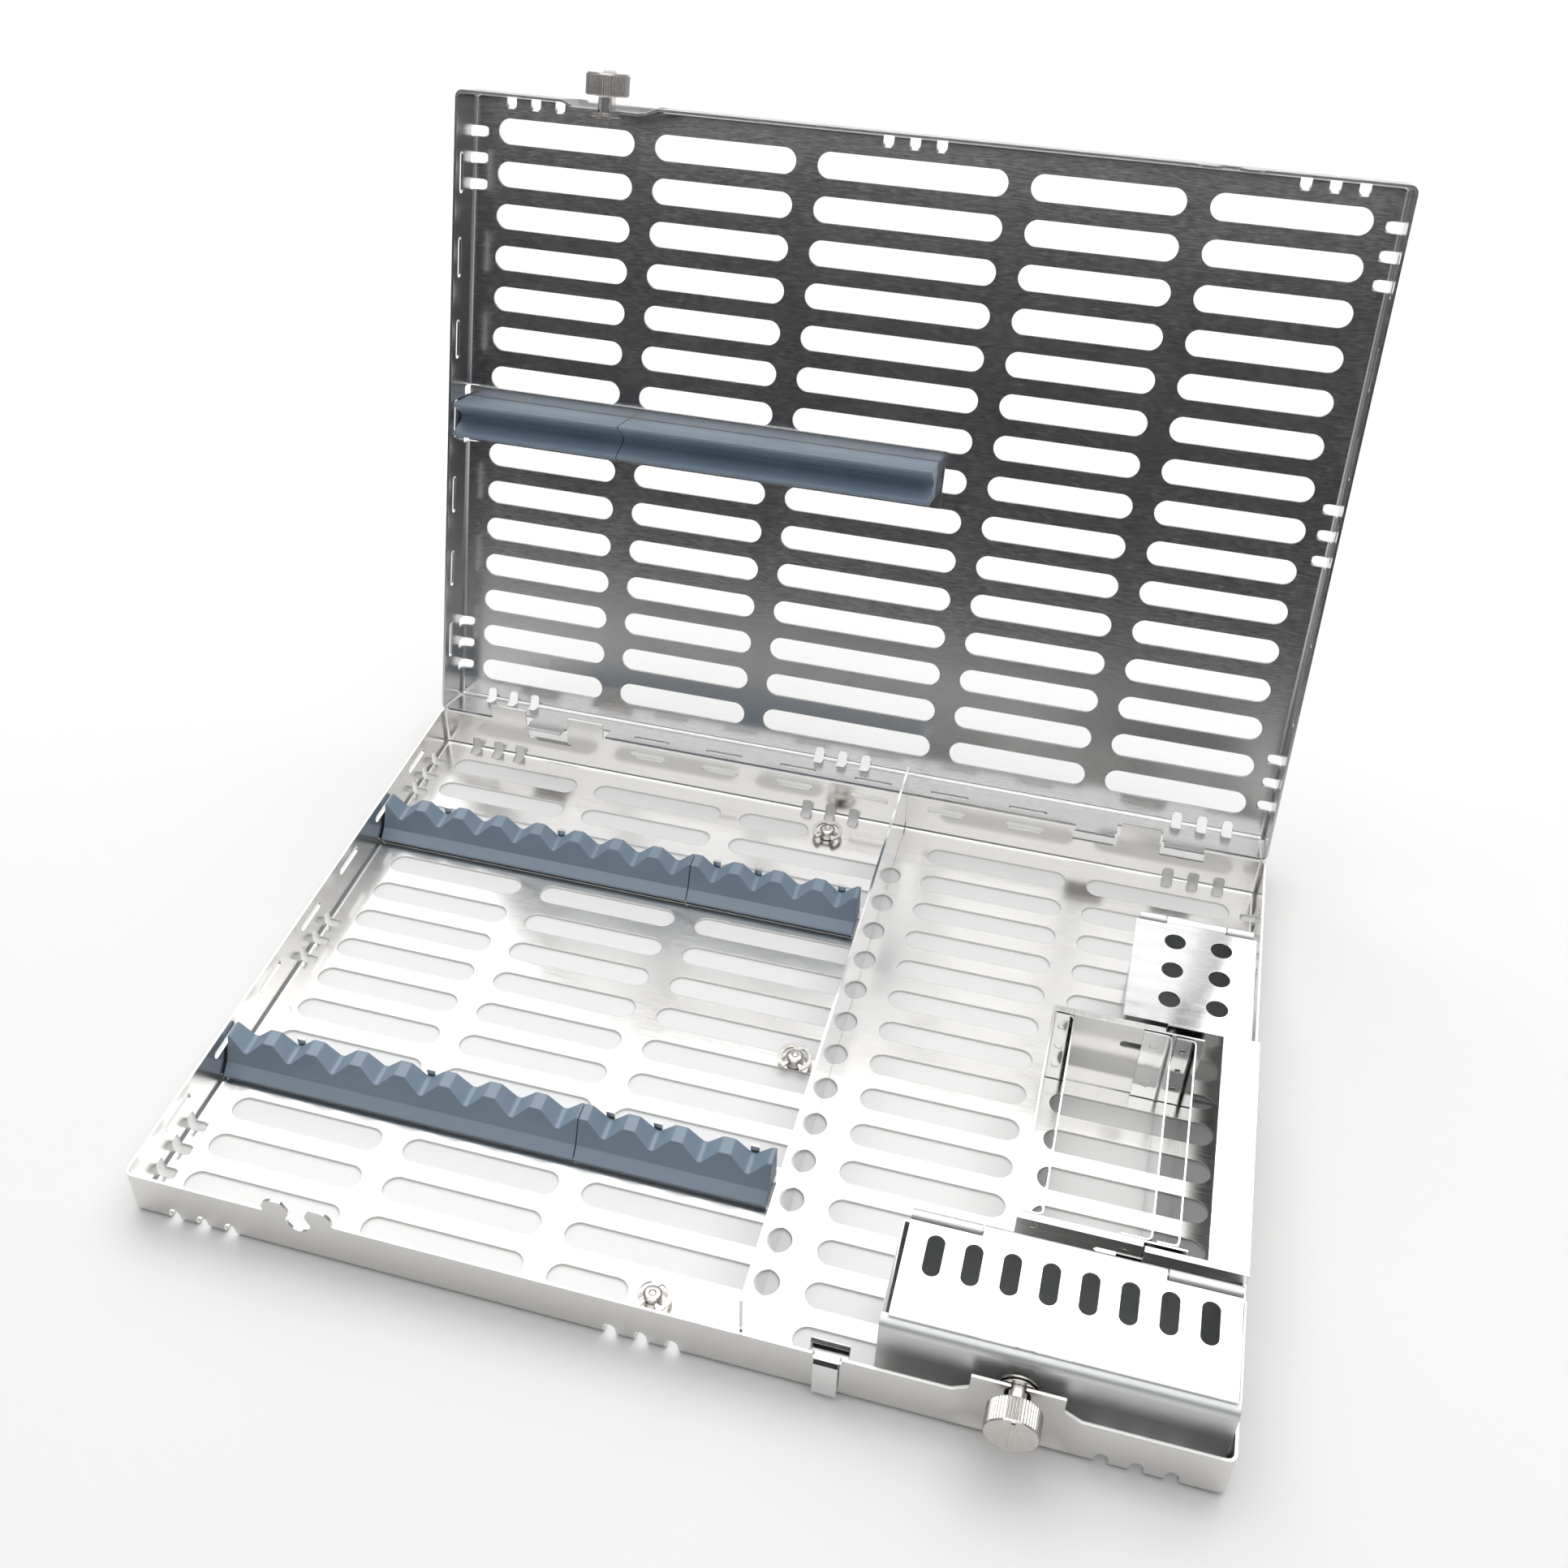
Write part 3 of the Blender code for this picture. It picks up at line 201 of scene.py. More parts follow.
BASE_PLACE = Matrix.Translation((0, (TRAY_LOW.y + TRAY_HIGH.y) / 2, 0))
LID_PLACE = Matrix.Translation(HINGE["pos_m"]) @ Matrix.Rotation(-math.radians(HINGE["range_deg"][1]), 4, "X")
LID_TURNED = LID_PLACE @ Matrix.Translation((0, -AXIS_Y, LID_HEIGHT)) @ Matrix.Rotation(math.pi, 4, "Y")


# ---------------------------------------------------------------- materials


def new_material(name):
    made = bpy.data.materials.new(name)
    made.use_nodes = True
    return made, made.node_tree.nodes, made.node_tree.links


def grain(nodes, links, scale, detail=4.0, roughness=0.6):
    """Noise stretched along the axes whose scale is small, in the shared frame."""
    place = nodes.new("ShaderNodeTexCoord")
    stretch = nodes.new("ShaderNodeMapping")
    stretch.inputs["Scale"].default_value = scale
    noise = nodes.new("ShaderNodeTexNoise")
    noise.inputs["Scale"].default_value = 1.0
    noise.inputs["Detail"].default_value = detail
    noise.inputs["Roughness"].default_value = roughness
    links.new(place.outputs["Object"], stretch.inputs["Vector"])
    links.new(stretch.outputs["Vector"], noise.inputs["Vector"])
    return noise.outputs["Fac"]


def remap(nodes, links, value, low, high, start=0.3, stop=0.7):
    made = nodes.new("ShaderNodeMapRange")
    made.inputs["From Min"].default_value = start
    made.inputs["From Max"].default_value = stop
    made.inputs["To Min"].default_value = low
    made.inputs["To Max"].default_value = high
    links.new(value, made.inputs["Value"])
    return made.outputs["Result"]


def added(nodes, links, first, second):
    made = nodes.new("ShaderNodeMath")
    made.operation = "ADD"
    links.new(first, made.inputs[0])
    links.new(second, made.inputs[1])
    return made.outputs["Value"]


def tinted(nodes, links, value, dark, light):
    ramp = nodes.new("ShaderNodeValToRGB")
    ramp.color_ramp.elements[0].position = 0.3
    ramp.color_ramp.elements[0].color = (*dark, 1.0)
    ramp.color_ramp.elements[1].position = 0.7
    ramp.color_ramp.elements[1].color = (*light, 1.0)
    links.new(value, ramp.inputs["Fac"])
    return ramp.outputs["Color"]


def rounded_normal(nodes, radius):
    made = nodes.new("ShaderNodeBevel")
    made.samples = 4
    made.inputs["Radius"].default_value = radius
    return made.outputs["Normal"]


def bumped(nodes, links, height, strength, distance, normal=None):
    made = nodes.new("ShaderNodeBump")
    made.inputs["Strength"].default_value = strength
    made.inputs["Distance"].default_value = distance
    links.new(height, made.inputs["Height"])
    if normal:
        links.new(normal, made.inputs["Normal"])
    return made.outputs["Normal"]


def steel(name, dark, light, rough, grain_scale, depth, metallic=1.0):
    """Brushed or polished sheet: drawn grain, cloudy wear in the gloss, fine scuffs and softened edges."""
    made, nodes, links = new_material(name)
    shader = nodes["Principled BSDF"]
    shader.inputs["Metallic"].default_value = metallic
    lines = grain(nodes, links, grain_scale)
    clouds = grain(nodes, links, (38, 38, 38), detail=3)
    scuffs = grain(nodes, links, (420, 420, 420), detail=2)
    links.new(tinted(nodes, links, lines, dark, light), shader.inputs["Base Color"])
    spread = remap(nodes, links, lines, rough[0], rough[1])
    patch = remap(nodes, links, clouds, -0.015, 0.015)
    worn = remap(nodes, links, scuffs, 0.0, 0.03, 0.5, 0.75)
    total = added(nodes, links, added(nodes, links, spread, patch), worn)
    links.new(total, shader.inputs["Roughness"])
    smooth = rounded_normal(nodes, 0.2 * MM)
    links.new(bumped(nodes, links, lines, depth, 0.03 * MM, smooth), shader.inputs["Normal"])
    return made


def silicone(name):
    """Matt moulded rubber with a fine surface grain and cloudy variation in its tone and gloss."""
    made, nodes, links = new_material(name)
    shader = nodes["Principled BSDF"]
    fine = grain(nodes, links, (2600, 2600, 2600), detail=2)
    clouds = grain(nodes, links, (60, 60, 60), detail=4)
    colour = tinted(nodes, links, clouds, (0.165, 0.235, 0.31), (0.195, 0.27, 0.35))
    links.new(colour, shader.inputs["Base Color"])
    links.new(remap(nodes, links, clouds, 0.42, 0.56), shader.inputs["Roughness"])
    shader.inputs["Sheen Weight"].default_value = 0.12
    shader.inputs["Specular IOR Level"].default_value = 1.0
    shader.inputs["IOR"].default_value = 1.55
    smooth = rounded_normal(nodes, 0.3 * MM)
    links.new(bumped(nodes, links, fine, 0.12, 0.04 * MM, smooth), shader.inputs["Normal"])
    return made


BRUSHED_X = (120, 3600, 3600)
BRUSHED_Y = (3600, 120, 3600)
COARSE_X = (330, 3000, 3000)
TURNED = (900, 900, 900)
SHEET_LOOK = steel("brushed_sheet", (0.69, 0.68, 0.665), (0.75, 0.74, 0.725), (0.17, 0.24), BRUSHED_X, 0.08)
LID_LOOK = steel("brushed_lid_sheet", (0.55, 0.548, 0.545), (0.7, 0.695, 0.69), (0.16, 0.24), COARSE_X, 0.2)
BRIGHT_LOOK = steel("bright_sheet", (0.8, 0.8, 0.795), (0.86, 0.86, 0.855), (0.07, 0.12), BRUSHED_X, 0.03)
BOX_LOOK = steel("box_sheet", (0.72, 0.715, 0.7), (0.79, 0.785, 0.77), (0.12, 0.18), BRUSHED_Y, 0.05)
SATIN_LOOK = steel("satin_sheet", (0.68, 0.69, 0.69), (0.74, 0.75, 0.75), (0.4, 0.47), BRUSHED_X, 0.05, 0.8)
DIVIDER_LOOK = steel("divider_sheet", (0.74, 0.745, 0.75), (0.8, 0.805, 0.81), (0.07, 0.12), BRUSHED_Y, 0.03)
TURNED_LOOK = steel("turned_steel", (0.56, 0.535, 0.51), (0.66, 0.635, 0.605), (0.16, 0.24), TURNED, 0.08)
RUBBER_LOOK = silicone("rail_silicone")


# ---------------------------------------------------------------- mesh helpers


def add_box(bm, low, high):
    low = Vector(low)
    high = Vector(high)
    place = Matrix.Translation((low + high) / 2) @ Matrix.Diagonal((*(high - low), 1.0))
    return bmesh.ops.create_cube(bm, size=1.0, matrix=place)["verts"]


def add_rod(bm, radius, length, place, segments=32):
    bmesh.ops.create_cone(
        bm, cap_ends=True, segments=segments, radius1=radius, radius2=radius, depth=length, matrix=place
    )


def add_slot(bm, length, width, depth, place, segments=24):
    """A prism with round ends: length along local X, width along local Y, depth along local Z."""
    turn = Matrix.Rotation(math.pi / segments, 4, "Z")
    made = bmesh.ops.create_cone(
        bm, cap_ends=True, segments=segments, radius1=width / 2, radius2=width / 2, depth=depth, matrix=turn
    )
    for vert in made["verts"]:
        vert.co.x += math.copysign((length - width) / 2, vert.co.x)
    bmesh.ops.transform(bm, matrix=place, verts=made["verts"])


def add_prism(bm, outline, low, high, across):
    """A flat outline swept from low to high along one axis; its points are in the other two axes."""
    axis = "XYZ".index(across)
    ring = []
    for point in outline:
        place = list(point)
        place.insert(axis, low)
        ring.append(bm.verts.new(place))
    move = Vector([high - low if index == axis else 0.0 for index in range(3)])
    face = bm.faces.new(ring)
    swept = bmesh.ops.extrude_face_region(bm, geom=[face], use_keep_orig=True)
    moved = [item for item in swept["geom"] if isinstance(item, bmesh.types.BMVert)]
    bmesh.ops.translate(bm, vec=move, verts=moved)


def add_rings(bm, rings):
    """Skins closed rings of equal length and closes both ends."""
    rows = [[bm.verts.new(point) for point in ring] for ring in rings]
    count = len(rows[0])
    for first, second in zip(rows, rows[1:]):
        for index in range(count):
            following = (index + 1) % count
            bm.faces.new((first[index], first[following], second[following], second[index]))
    bm.faces.new(rows[0][::-1])
    bm.faces.new(rows[-1])


def add_turned(bm, profile, place, segments=48):
    """A shape turned about local Z from (radius, height, tooth) points; tooth sinks every other one."""
    rings = []
    for radius, height, tooth in profile:
        ring = []
        for index in range(segments):
            angle = 2 * math.pi * index / segments
            reach = radius - tooth * (index % 2)
            ring.append(place @ Vector((reach * math.cos(angle), reach * math.sin(angle), height)))
        rings.append(ring)
    add_rings(bm, rings)


def facing_y(x, y, z):
    """Local X stays along X, local Y points up and local Z points to the front."""
    return Matrix.Translation((x, y, z)) @ Matrix.Rotation(math.pi / 2, 4, "X")


def facing_x(x, y, z):
    """Local X runs along Y, local Y points up and local Z runs along X."""
    return Matrix.Translation((x, y, z)) @ Matrix(((0, 0, 1, 0), (1, 0, 0, 0), (0, 1, 0, 0), (0, 0, 0, 1)))


def plain_object(bm, name):
    bmesh.ops.recalc_face_normals(bm, faces=bm.faces)
    mesh = bpy.data.meshes.new(name)
    bm.to_mesh(mesh)
    bm.free()
    obj = bpy.data.objects.new(name, mesh)
    bpy.context.scene.collection.objects.link(obj)
    return obj


def cut(obj, bm):
    """Hangs a cutter on a piece; settled applies it."""
    modifier = obj.modifiers.new("cut", "BOOLEAN")
    modifier.operation = "DIFFERENCE"
    modifier.solver = "EXACT"
    modifier.object = plain_object(bm, "tool")


def settled(obj, place):
    """Applies the modifiers, removes their tools and moves the mesh into the shared frame."""
    bpy.context.view_layer.update()
    graph = bpy.context.evaluated_depsgraph_get()
    mesh = bpy.data.meshes.new_from_object(obj.evaluated_get(graph))
    tools = [modifier.object for modifier in obj.modifiers if modifier.type == "BOOLEAN"]
    obj.modifiers.clear()
    obj.data = mesh
    mesh.transform(place)
    for tool in tools:
        bpy.data.objects.remove(tool)
    return obj


def finished(obj, node, look, sharp=SHARP_ANGLE):
    """Gives a piece its material and smooth shading, and lets it stand for its CAD node."""
    mesh = obj.data
    mesh.materials.clear()
    mesh.materials.append(look)
    for face in mesh.polygons:
        face.material_index = 0
    mesh.shade_smooth()
    mesh.set_sharp_from_angle(angle=math.radians(sharp))
    even = obj.modifiers.new("even_shading", "WEIGHTED_NORMAL")
    even.keep_sharp = True
    even.weight = 90
    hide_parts(node)
    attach(obj, NODES[node]["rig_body"])
    return obj


def refined(node, look, cutters=()):
    """A piece that keeps its CAD shape: welded, its flat faces whole, smoothly shaded and with fine cuts."""
    bm = bmesh.new()
    bm.from_mesh(NODES[node].data)
    bmesh.ops.remove_doubles(bm, verts=bm.verts, dist=SAME_POINT)
    bmesh.ops.dissolve_limit(bm, angle_limit=math.radians(FLAT_ANGLE), verts=bm.verts, edges=bm.edges)
    piece = plain_object(bm, f"fine_{node}")
    for tool in cutters:
        cut(piece, tool)
    return finished(settled(piece, Matrix.Identity(4)), node, look)


# ---------------------------------------------------------------- pressed trays


def split_wall(bm, side_y, stations):
    """Cuts the wall at one Y upright at each X station."""
    for station in stations:
        faces = [face for face in bm.faces if all(abs(v.co.y - side_y) < GAP for v in face.verts)]
        edges = {edge for face in faces for edge in face.edges}
        verts = {vert for face in faces for vert in face.verts}
        geometry = [*faces, *edges, *verts]
        bmesh.ops.bisect_plane(bm, geom=geometry, plane_co=(station, 0, 0), plane_no=(1, 0, 0))


def raise_rim(bm, side_y, rim_z, span, rise, lip=0.0):
    """Extrudes the rim between two X stations upwards into a tab, whose end may curl inwards in an arc."""
    low, high = span
    edges = [
        edge
        for edge in bm.edges
        if edge.is_boundary
        and all(
            abs(v.co.y - side_y) < GAP and v.co.z > rim_z - MM and low - GAP < v.co.x < high + GAP
            for v in edge.verts
        )
    ]
    turns = 6 if lip else 0
    levels = [(0.0, rise - lip)]
    for index in range(1, turns + 1):
        angle = math.pi / 2 * index / turns
        levels.append((lip * (1 - math.cos(angle)), rise - lip + lip * math.sin(angle)))
    for shift, level in levels:
        swept = bmesh.ops.extrude_edge_only(bm, edges=edges)["geom"]
        edges = [item for item in swept if isinstance(item, bmesh.types.BMEdge)]
        edges = [e for e in edges if e.is_boundary and abs(e.verts[0].co.z - e.verts[1].co.z) < GAP / 100]
        for item in swept:
            if isinstance(item, bmesh.types.BMVert):
                item.co.z = rim_z + level
                item.co.y = side_y - math.copysign(shift, side_y)


def pressed_surface(height, tab_heights):
    """The outer face of a tray: floor, four walls, knob pocket, latch tab, hook tab and hinge tabs."""
    front_y = -DEPTH / 2
    back_y = DEPTH / 2
    rim_z = height - RIM_GAP
    bm = bmesh.new()
    add_box(bm, (-WIDTH / 2, front_y, 0.0), (WIDTH / 2, back_y, rim_z))
    top = [face for face in bm.faces if face.normal.z > 0.5]
    bmesh.ops.delete(bm, geom=top, context="FACES")
    upright = [edge for edge in bm.edges if abs(edge.verts[0].co.z - edge.verts[1].co.z) > MM]
    bmesh.ops.bevel(bm, geom=upright, offset=CORNER_RADIUS, segments=5, profile=0.5, affect="EDGES")
    bottom = [edge for edge in bm.edges if all(v.co.z < GAP for v in edge.verts)]
    bmesh.ops.bevel(bm, geom=bottom, offset=BEND_RADIUS, segments=6, profile=0.5, affect="EDGES")

    pocket = (LATCH_X - POCKET_HALF, LATCH_X + POCKET_HALF)
    flanks = (pocket[0] - POCKET_FLANK, pocket[1] + POCKET_FLANK)
    hook = (-LATCH_X - HOOK_HALF, -LATCH_X + HOOK_HALF)
    split_wall(bm, front_y, (*pocket, *flanks, *hook))
    wall = [face for face in bm.faces if all(abs(v.co.y - front_y) < GAP for v in face.verts)]
    geometry = [*wall, *{edge for face in wall for edge in face.edges}]
    geometry += list({vert for face in wall for vert in face.verts})
    bmesh.ops.bisect_plane(
        bm, geom=geometry, plane_co=(0, 0, POCKET_FLOOR + POCKET_DEPTH), plane_no=(0, 0, 1)
    )
    raise_rim(bm, front_y, rim_z, hook, LATCH_TAB_RISE + RIM_GAP)
    tips = [v for v in bm.verts if v.co.z > rim_z + MM and abs(v.co.y - front_y) < GAP]
    bmesh.ops.bevel(bm, geom=tips, offset=HOOK_ROUND, segments=8, profile=0.5, affect="VERTICES")
    raise_rim(bm, front_y, rim_z, pocket, LATCH_TAB_RISE + RIM_GAP)
    for vert in bm.verts:
        inside = pocket[0] - GAP < vert.co.x < pocket[1] + GAP
        if inside and abs(vert.co.y - front_y) < GAP and vert.co.z > POCKET_FLOOR:
            vert.co.y += POCKET_DEPTH

    tabs = [tuple(value * MM for value in span) for span in HINGE_TABS]
    split_wall(bm, back_y, [station for span in tabs for station in span])
    for index, (span, rise) in enumerate(zip(tabs, tab_heights)):
        lip = TAB_LIP if index == HOOKED_TAB else 0.0
        raise_rim(bm, back_y, rim_z, span, rise + RIM_GAP, lip)
    for vert in bm.verts:
        if vert.co.y > back_y - GAP and abs(vert.co.z - rim_z) < GAP:
            vert.co.z = height - HINGE_RIM_DROP
    return bm


def floor_slots(shortened):
    bm = bmesh.new()
    for row in range(-ROWS_EACH_WAY, ROWS_EACH_WAY + 1):
        for column, (centre, length) in enumerate(zip(COLUMN_CENTRES, COLUMN_LENGTHS)):
            low = (centre - length / 2) * MM
            high = shortened.get((row, column), (centre + length / 2) * MM)
            place = Matrix.Translation(((low + high) / 2, row * ROW_PITCH, 0.0))
            add_slot(bm, high - low, SLOT_WIDTH, 4 * SHEET, place)
    return bm


def bend_notches():
    """Short slots across the bend between floor and wall, in groups of three."""
    bm = bmesh.new()
    depth = 10 * SHEET
    for step in (-1, 0, 1):
        for side in (-1, 1):
            for group in NOTCH_GROUPS_X:
                turn = Matrix.Rotation(math.radians(side * 45), 4, "X") @ Matrix.Rotation(math.pi / 2, 4, "Z")
                place = Matrix.Translation((group + step * NOTCH_PITCH, side * (DEPTH / 2), 0.0))
                add_slot(bm, NOTCH_LENGTH, NOTCH_WIDTH, depth, place @ turn, segments=16)
            for group in NOTCH_GROUPS_Y:
                turn = Matrix.Rotation(math.radians(-side * 45), 4, "Y")
                place = Matrix.Translation((side * (WIDTH / 2), group + step * NOTCH_PITCH, 0.0))
                add_slot(bm, NOTCH_LENGTH, NOTCH_WIDTH, depth, place @ turn, segments=16)
    return bm


def wall_slots(height):
    bm = bmesh.new()
    z = height - WALL_SLOT_DROP
    thick = 4 * SHEET
    for step in BACK_WALL_ROWS:
        place = facing_y(step * ROW_PITCH, DEPTH / 2, z)
        add_slot(bm, WALL_SLOT_LENGTH, WALL_SLOT_WIDTH, thick, place, segments=16)
    for step in SIDE_WALL_ROWS:
        for side in (-1, 1):
            place = facing_x(side * WIDTH / 2, step * ROW_PITCH, z)
            add_slot(bm, WALL_SLOT_LENGTH, WALL_SLOT_WIDTH, thick, place, segments=16)
    return bm


def rim_cutouts(height, notch_depth, clip_notch):
    """Hinge notches, the rim notch for the wall clip and the mouth of the latch hook."""
    bm = bmesh.new()
    for low, high in HINGE_NOTCHES:
        bottom = height - notch_depth
        add_box(bm, (low * MM, AXIS_Y - 2 * SHEET, bottom), (high * MM, AXIS_Y + 2 * SHEET, height + MM))
    if clip_notch:
        low = (CLIP_X - CLIP_NOTCH_HALF, -DEPTH / 2 - SHEET, height - CLIP_NOTCH_DEPTH)
        add_box(bm, low, (CLIP_X + CLIP_NOTCH_HALF, -DEPTH / 2 + 2 * SHEET, height + MM))
    half = HOOK_MOUTH / 2
    wide = half + HOOK_FLARE
    outline = ((-half, -LATCH_OFFSET), (-half, LATCH_OFFSET), (-wide, LATCH_TAB_RISE + MM))
    outline += tuple((-x, z) for x, z in reversed(outline))
    outline = [(x - LATCH_X, z + height) for x, z in outline]
    add_prism(bm, outline, -DEPTH / 2 - SHEET, -DEPTH / 2 + 2 * SHEET, across="Y")
    return bm


def latch_bores(height):
    """The round notch in the hook and the bore for the knob's stem."""
    bm = bmesh.new()
    hook = facing_y(-LATCH_X, -DEPTH / 2, height - LATCH_OFFSET)
    add_rod(bm, HOOK_NOTCH_RADIUS, 5 * SHEET, hook, segments=40)
    pocket_y = -DEPTH / 2 + POCKET_DEPTH + SHEET / 2
    add_rod(bm, STEM_BORE, 4 * SHEET, facing_y(LATCH_X, pocket_y, height + LATCH_OFFSET))
    return bm


def hinge_slit():
    """A fine slit in the base's back wall, below the lid's curled tab."""
    x, z, length, width = HINGE_SLIT
    bm = bmesh.new()
    add_slot(bm, length, width, 4 * SHEET, facing_y(x, DEPTH / 2, z), segments=12)
    return bm


def pressed_tray(node, height, tab_heights, notch_depth, place, look, shortened=None):
    """A pressed shell; only the base gives shortened, the right end of each slot that stops early."""
    tray = plain_object(pressed_surface(height, tab_heights), f"fine_{node}")
    wall = tray.modifiers.new("sheet", "SOLIDIFY")
    wall.thickness = SHEET
    wall.offset = -1.0
    wall.use_even_offset = True
    is_base = shortened is not None
    cut(tray, floor_slots(shortened or {}))
    cut(tray, bend_notches())
    cut(tray, wall_slots(height))
    cut(tray, rim_cutouts(height, notch_depth, is_base))
    cut(tray, latch_bores(height))
    if is_base:
        cut(tray, hinge_slit())
    return finished(settled(tray, place), node, look)


# ---------------------------------------------------------------- latches


def knurled_knob(node, height, place, look):
    """A knurled knob with a bevelled front and a thin finger rib between two flats."""
    back = KNOB_CLEARANCE + POCKET_DEPTH
    front = back + KNOB_LENGTH
    radius = KNOB_RADIUS
    profile = (
        (radius - 0.7 * MM, back, 0.0),
        (radius - 0.1 * MM, back + 0.3 * MM, 0.0),
        (radius, back + 0.35 * MM, KNOB_TOOTH),
        (radius, front - 1.2 * MM, KNOB_TOOTH),
        (radius - 0.2 * MM, front - 1.0 * MM, 0.0),
        (radius - 0.3 * MM, front - 0.35 * MM, 0.0),
        (radius - 0.7 * MM, front, 0.0),
    )
    bm = bmesh.new()
    add_turned(bm, profile, Matrix.Identity(4), segments=108)
    knob = plain_object(bm, f"fine_{node}")
    for side in (-1, 1):
        near = side * KNOB_RIB / 2
        far = side * 2 * radius
        bm = bmesh.new()
        low = (min(near, far), -2 * radius, front - KNOB_FLAT)
        add_box(bm, low, (max(near, far), 2 * radius, front + MM))
        cut(knob, bm)
    pocket = facing_y(LATCH_X, -DEPTH / 2 + POCKET_DEPTH, height + LATCH_OFFSET)
    return finished(settled(knob, place @ pocket), node, look, sharp=KNOB_SHARP_ANGLE)


# ---------------------------------------------------------------- rails


def lobe_level(x):
    """The rail's height at x: flat lobes, straight shoulders and narrow valleys, their corners rounded."""
    total = 0.0
    spread = range(-4, 5)
    for step in spread:
        place = (x + step * LOBE_ROUND - LOBE_START) / LOBE_PITCH
        away = abs(place - round(place)) * LOBE_PITCH
        fall = min(max((away - LOBE_FLAT) / LOBE_SLOPE, 0.0), 1.0)
        total += RAIL_TOP - VALLEY_DEPTH * fall
    return total / len(spread)


def rail_ring(x, front, back):
    """One cross-section: foot, sloping toe, steep front face, rounded crest and level top."""
    level = lobe_level(x)
    share = (level - RAIL_TOE_Z) / (RAIL_TOP - RAIL_TOE_Z)
    crest_y = RAIL_TOE_Y + (RAIL_CREST_Y - RAIL_TOE_Y) * share
    ease = RAIL_ROUND
    shape = (
        (0.0, RAIL_BOTTOM),
        (0.0, RAIL_BOTTOM + 0.5 * MM),
        (0.15 * MM, RAIL_BOTTOM + 0.7 * MM),
        (RAIL_TOE_Y, RAIL_TOE_Z),
        (crest_y - 0.4 * ease, level - ease),
        (crest_y + 0.1 * ease, level - 0.25 * ease),
        (crest_y + 0.8 * ease, level),
    )
    ring = [(x, front + y, z) for y, z in shape]
    ring += [(x, back - ease, level), (x, back, level - ease), (x, back, RAIL_BOTTOM)]
    return ring


def base_strip(node):
    """A lobed strip: rail sections skinned along X."""
    low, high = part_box(node)
    count = round((high.x - low.x) / RAIL_STEP)
    bm = bmesh.new()
    stations = [low.x + (high.x - low.x) * index / count for index in range(count + 1)]
    add_rings(bm, [rail_ring(x, low.y, high.y) for x in stations])
    return finished(plain_object(bm, f"fine_{node}"), node, RUBBER_LOOK, sharp=RAIL_SHARP_ANGLE)


def lid_strip(node):
    """A strip with a rounded trough between two lips."""
    low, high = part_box(node)
    half = LID_RAIL_HALF
    mouth = half - LID_RAIL_EDGE
    trough = []
    steps = 20
    for index in range(steps + 1):
        y = mouth * (2 * index / steps - 1)
        depth = 1 - abs(y / mouth) ** TROUGH_POWER
        trough.append((y, LID_RAIL_LIP + (LID_RAIL_TROUGH - LID_RAIL_LIP) * depth))
    section = [(-half, LID_RAIL_ROOT), (-half + 0.3 * MM, LID_RAIL_LIP + 0.4 * MM)]
    section += [(-half + 0.7 * MM, LID_RAIL_LIP)]
    section += trough
    section += [(half - 0.7 * MM, LID_RAIL_LIP), (half - 0.3 * MM, LID_RAIL_LIP + 0.4 * MM)]
    section += [(half, LID_RAIL_ROOT)]
    rings = [[(x, y - LID_RAIL_REACH, z) for y, z in section] for x in (low.x, high.x)]
    bm = bmesh.new()
    add_rings(bm, rings)
    return finished(settled(plain_object(bm, f"fine_{node}"), LID_PLACE), node, RUBBER_LOOK)


# ---------------------------------------------------------------- studs and clips


def stud(node):
    """A turned stud with a groove for its clip and a domed, dimpled head."""
    low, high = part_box(node)
    centre = (low + high) / 2
    neck = STUD_GROOVE - GAP / 2
    profile = (
        (2.5, 0.0),
        (2.5, neck / MM),
        (1.9, neck / MM),
        (1.9, 2.4),
        (2.4, 2.45),
        (2.4, 2.7),
        (2.2, 2.95),
        (1.7, 3.15),
        (1.0, 3.2),
        (0.7, 2.9),
        (0.25, 2.8),
    )
    bm = bmesh.new()
    place = Matrix.Translation((centre.x, centre.y, low.z))
    add_turned(bm, [(radius * MM, z * MM, 0.0) for radius, z in profile], place)
    return finished(plain_object(bm, f"fine_{node}"), node, TURNED_LOOK)


def stud_clip(node, stud_node):
    """A retaining clip open to the front: a round outside and three rounded lobes in the stud's groove."""
    low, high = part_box(node)
    stud_low, stud_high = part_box(stud_node)
    centre = (stud_low + stud_high) / 2
    steps = 72
    start = math.radians(-90 + CLIP_OPENING)
    sweep = math.radians(360 - 2 * CLIP_OPENING)
    outer = []
    inner = []
    for index in range(steps + 1):
        part = index / steps
        angle = start + sweep * part
        nearest = min(abs(part - place) for place in (0.0, 0.5, 1.0))
        lobe = 1 / (1 + math.exp((nearest - CLIP_LOBE_REACH) * CLIP_LOBE_STEEPNESS))
        reach = CLIP_INNER - (CLIP_INNER - CLIP_LOBE) * lobe
        outer.append((centre.x + CLIP_OUTER * math.cos(angle), centre.y + CLIP_OUTER * math.sin(angle)))
        inner.append((centre.x + reach * math.cos(angle), centre.y + reach * math.sin(angle)))
    bm = bmesh.new()
    add_prism(bm, outer + inner[::-1], low.z, high.z, across="Z")
    return finished(plain_object(bm, f"fine_{node}"), node, TURNED_LOOK)


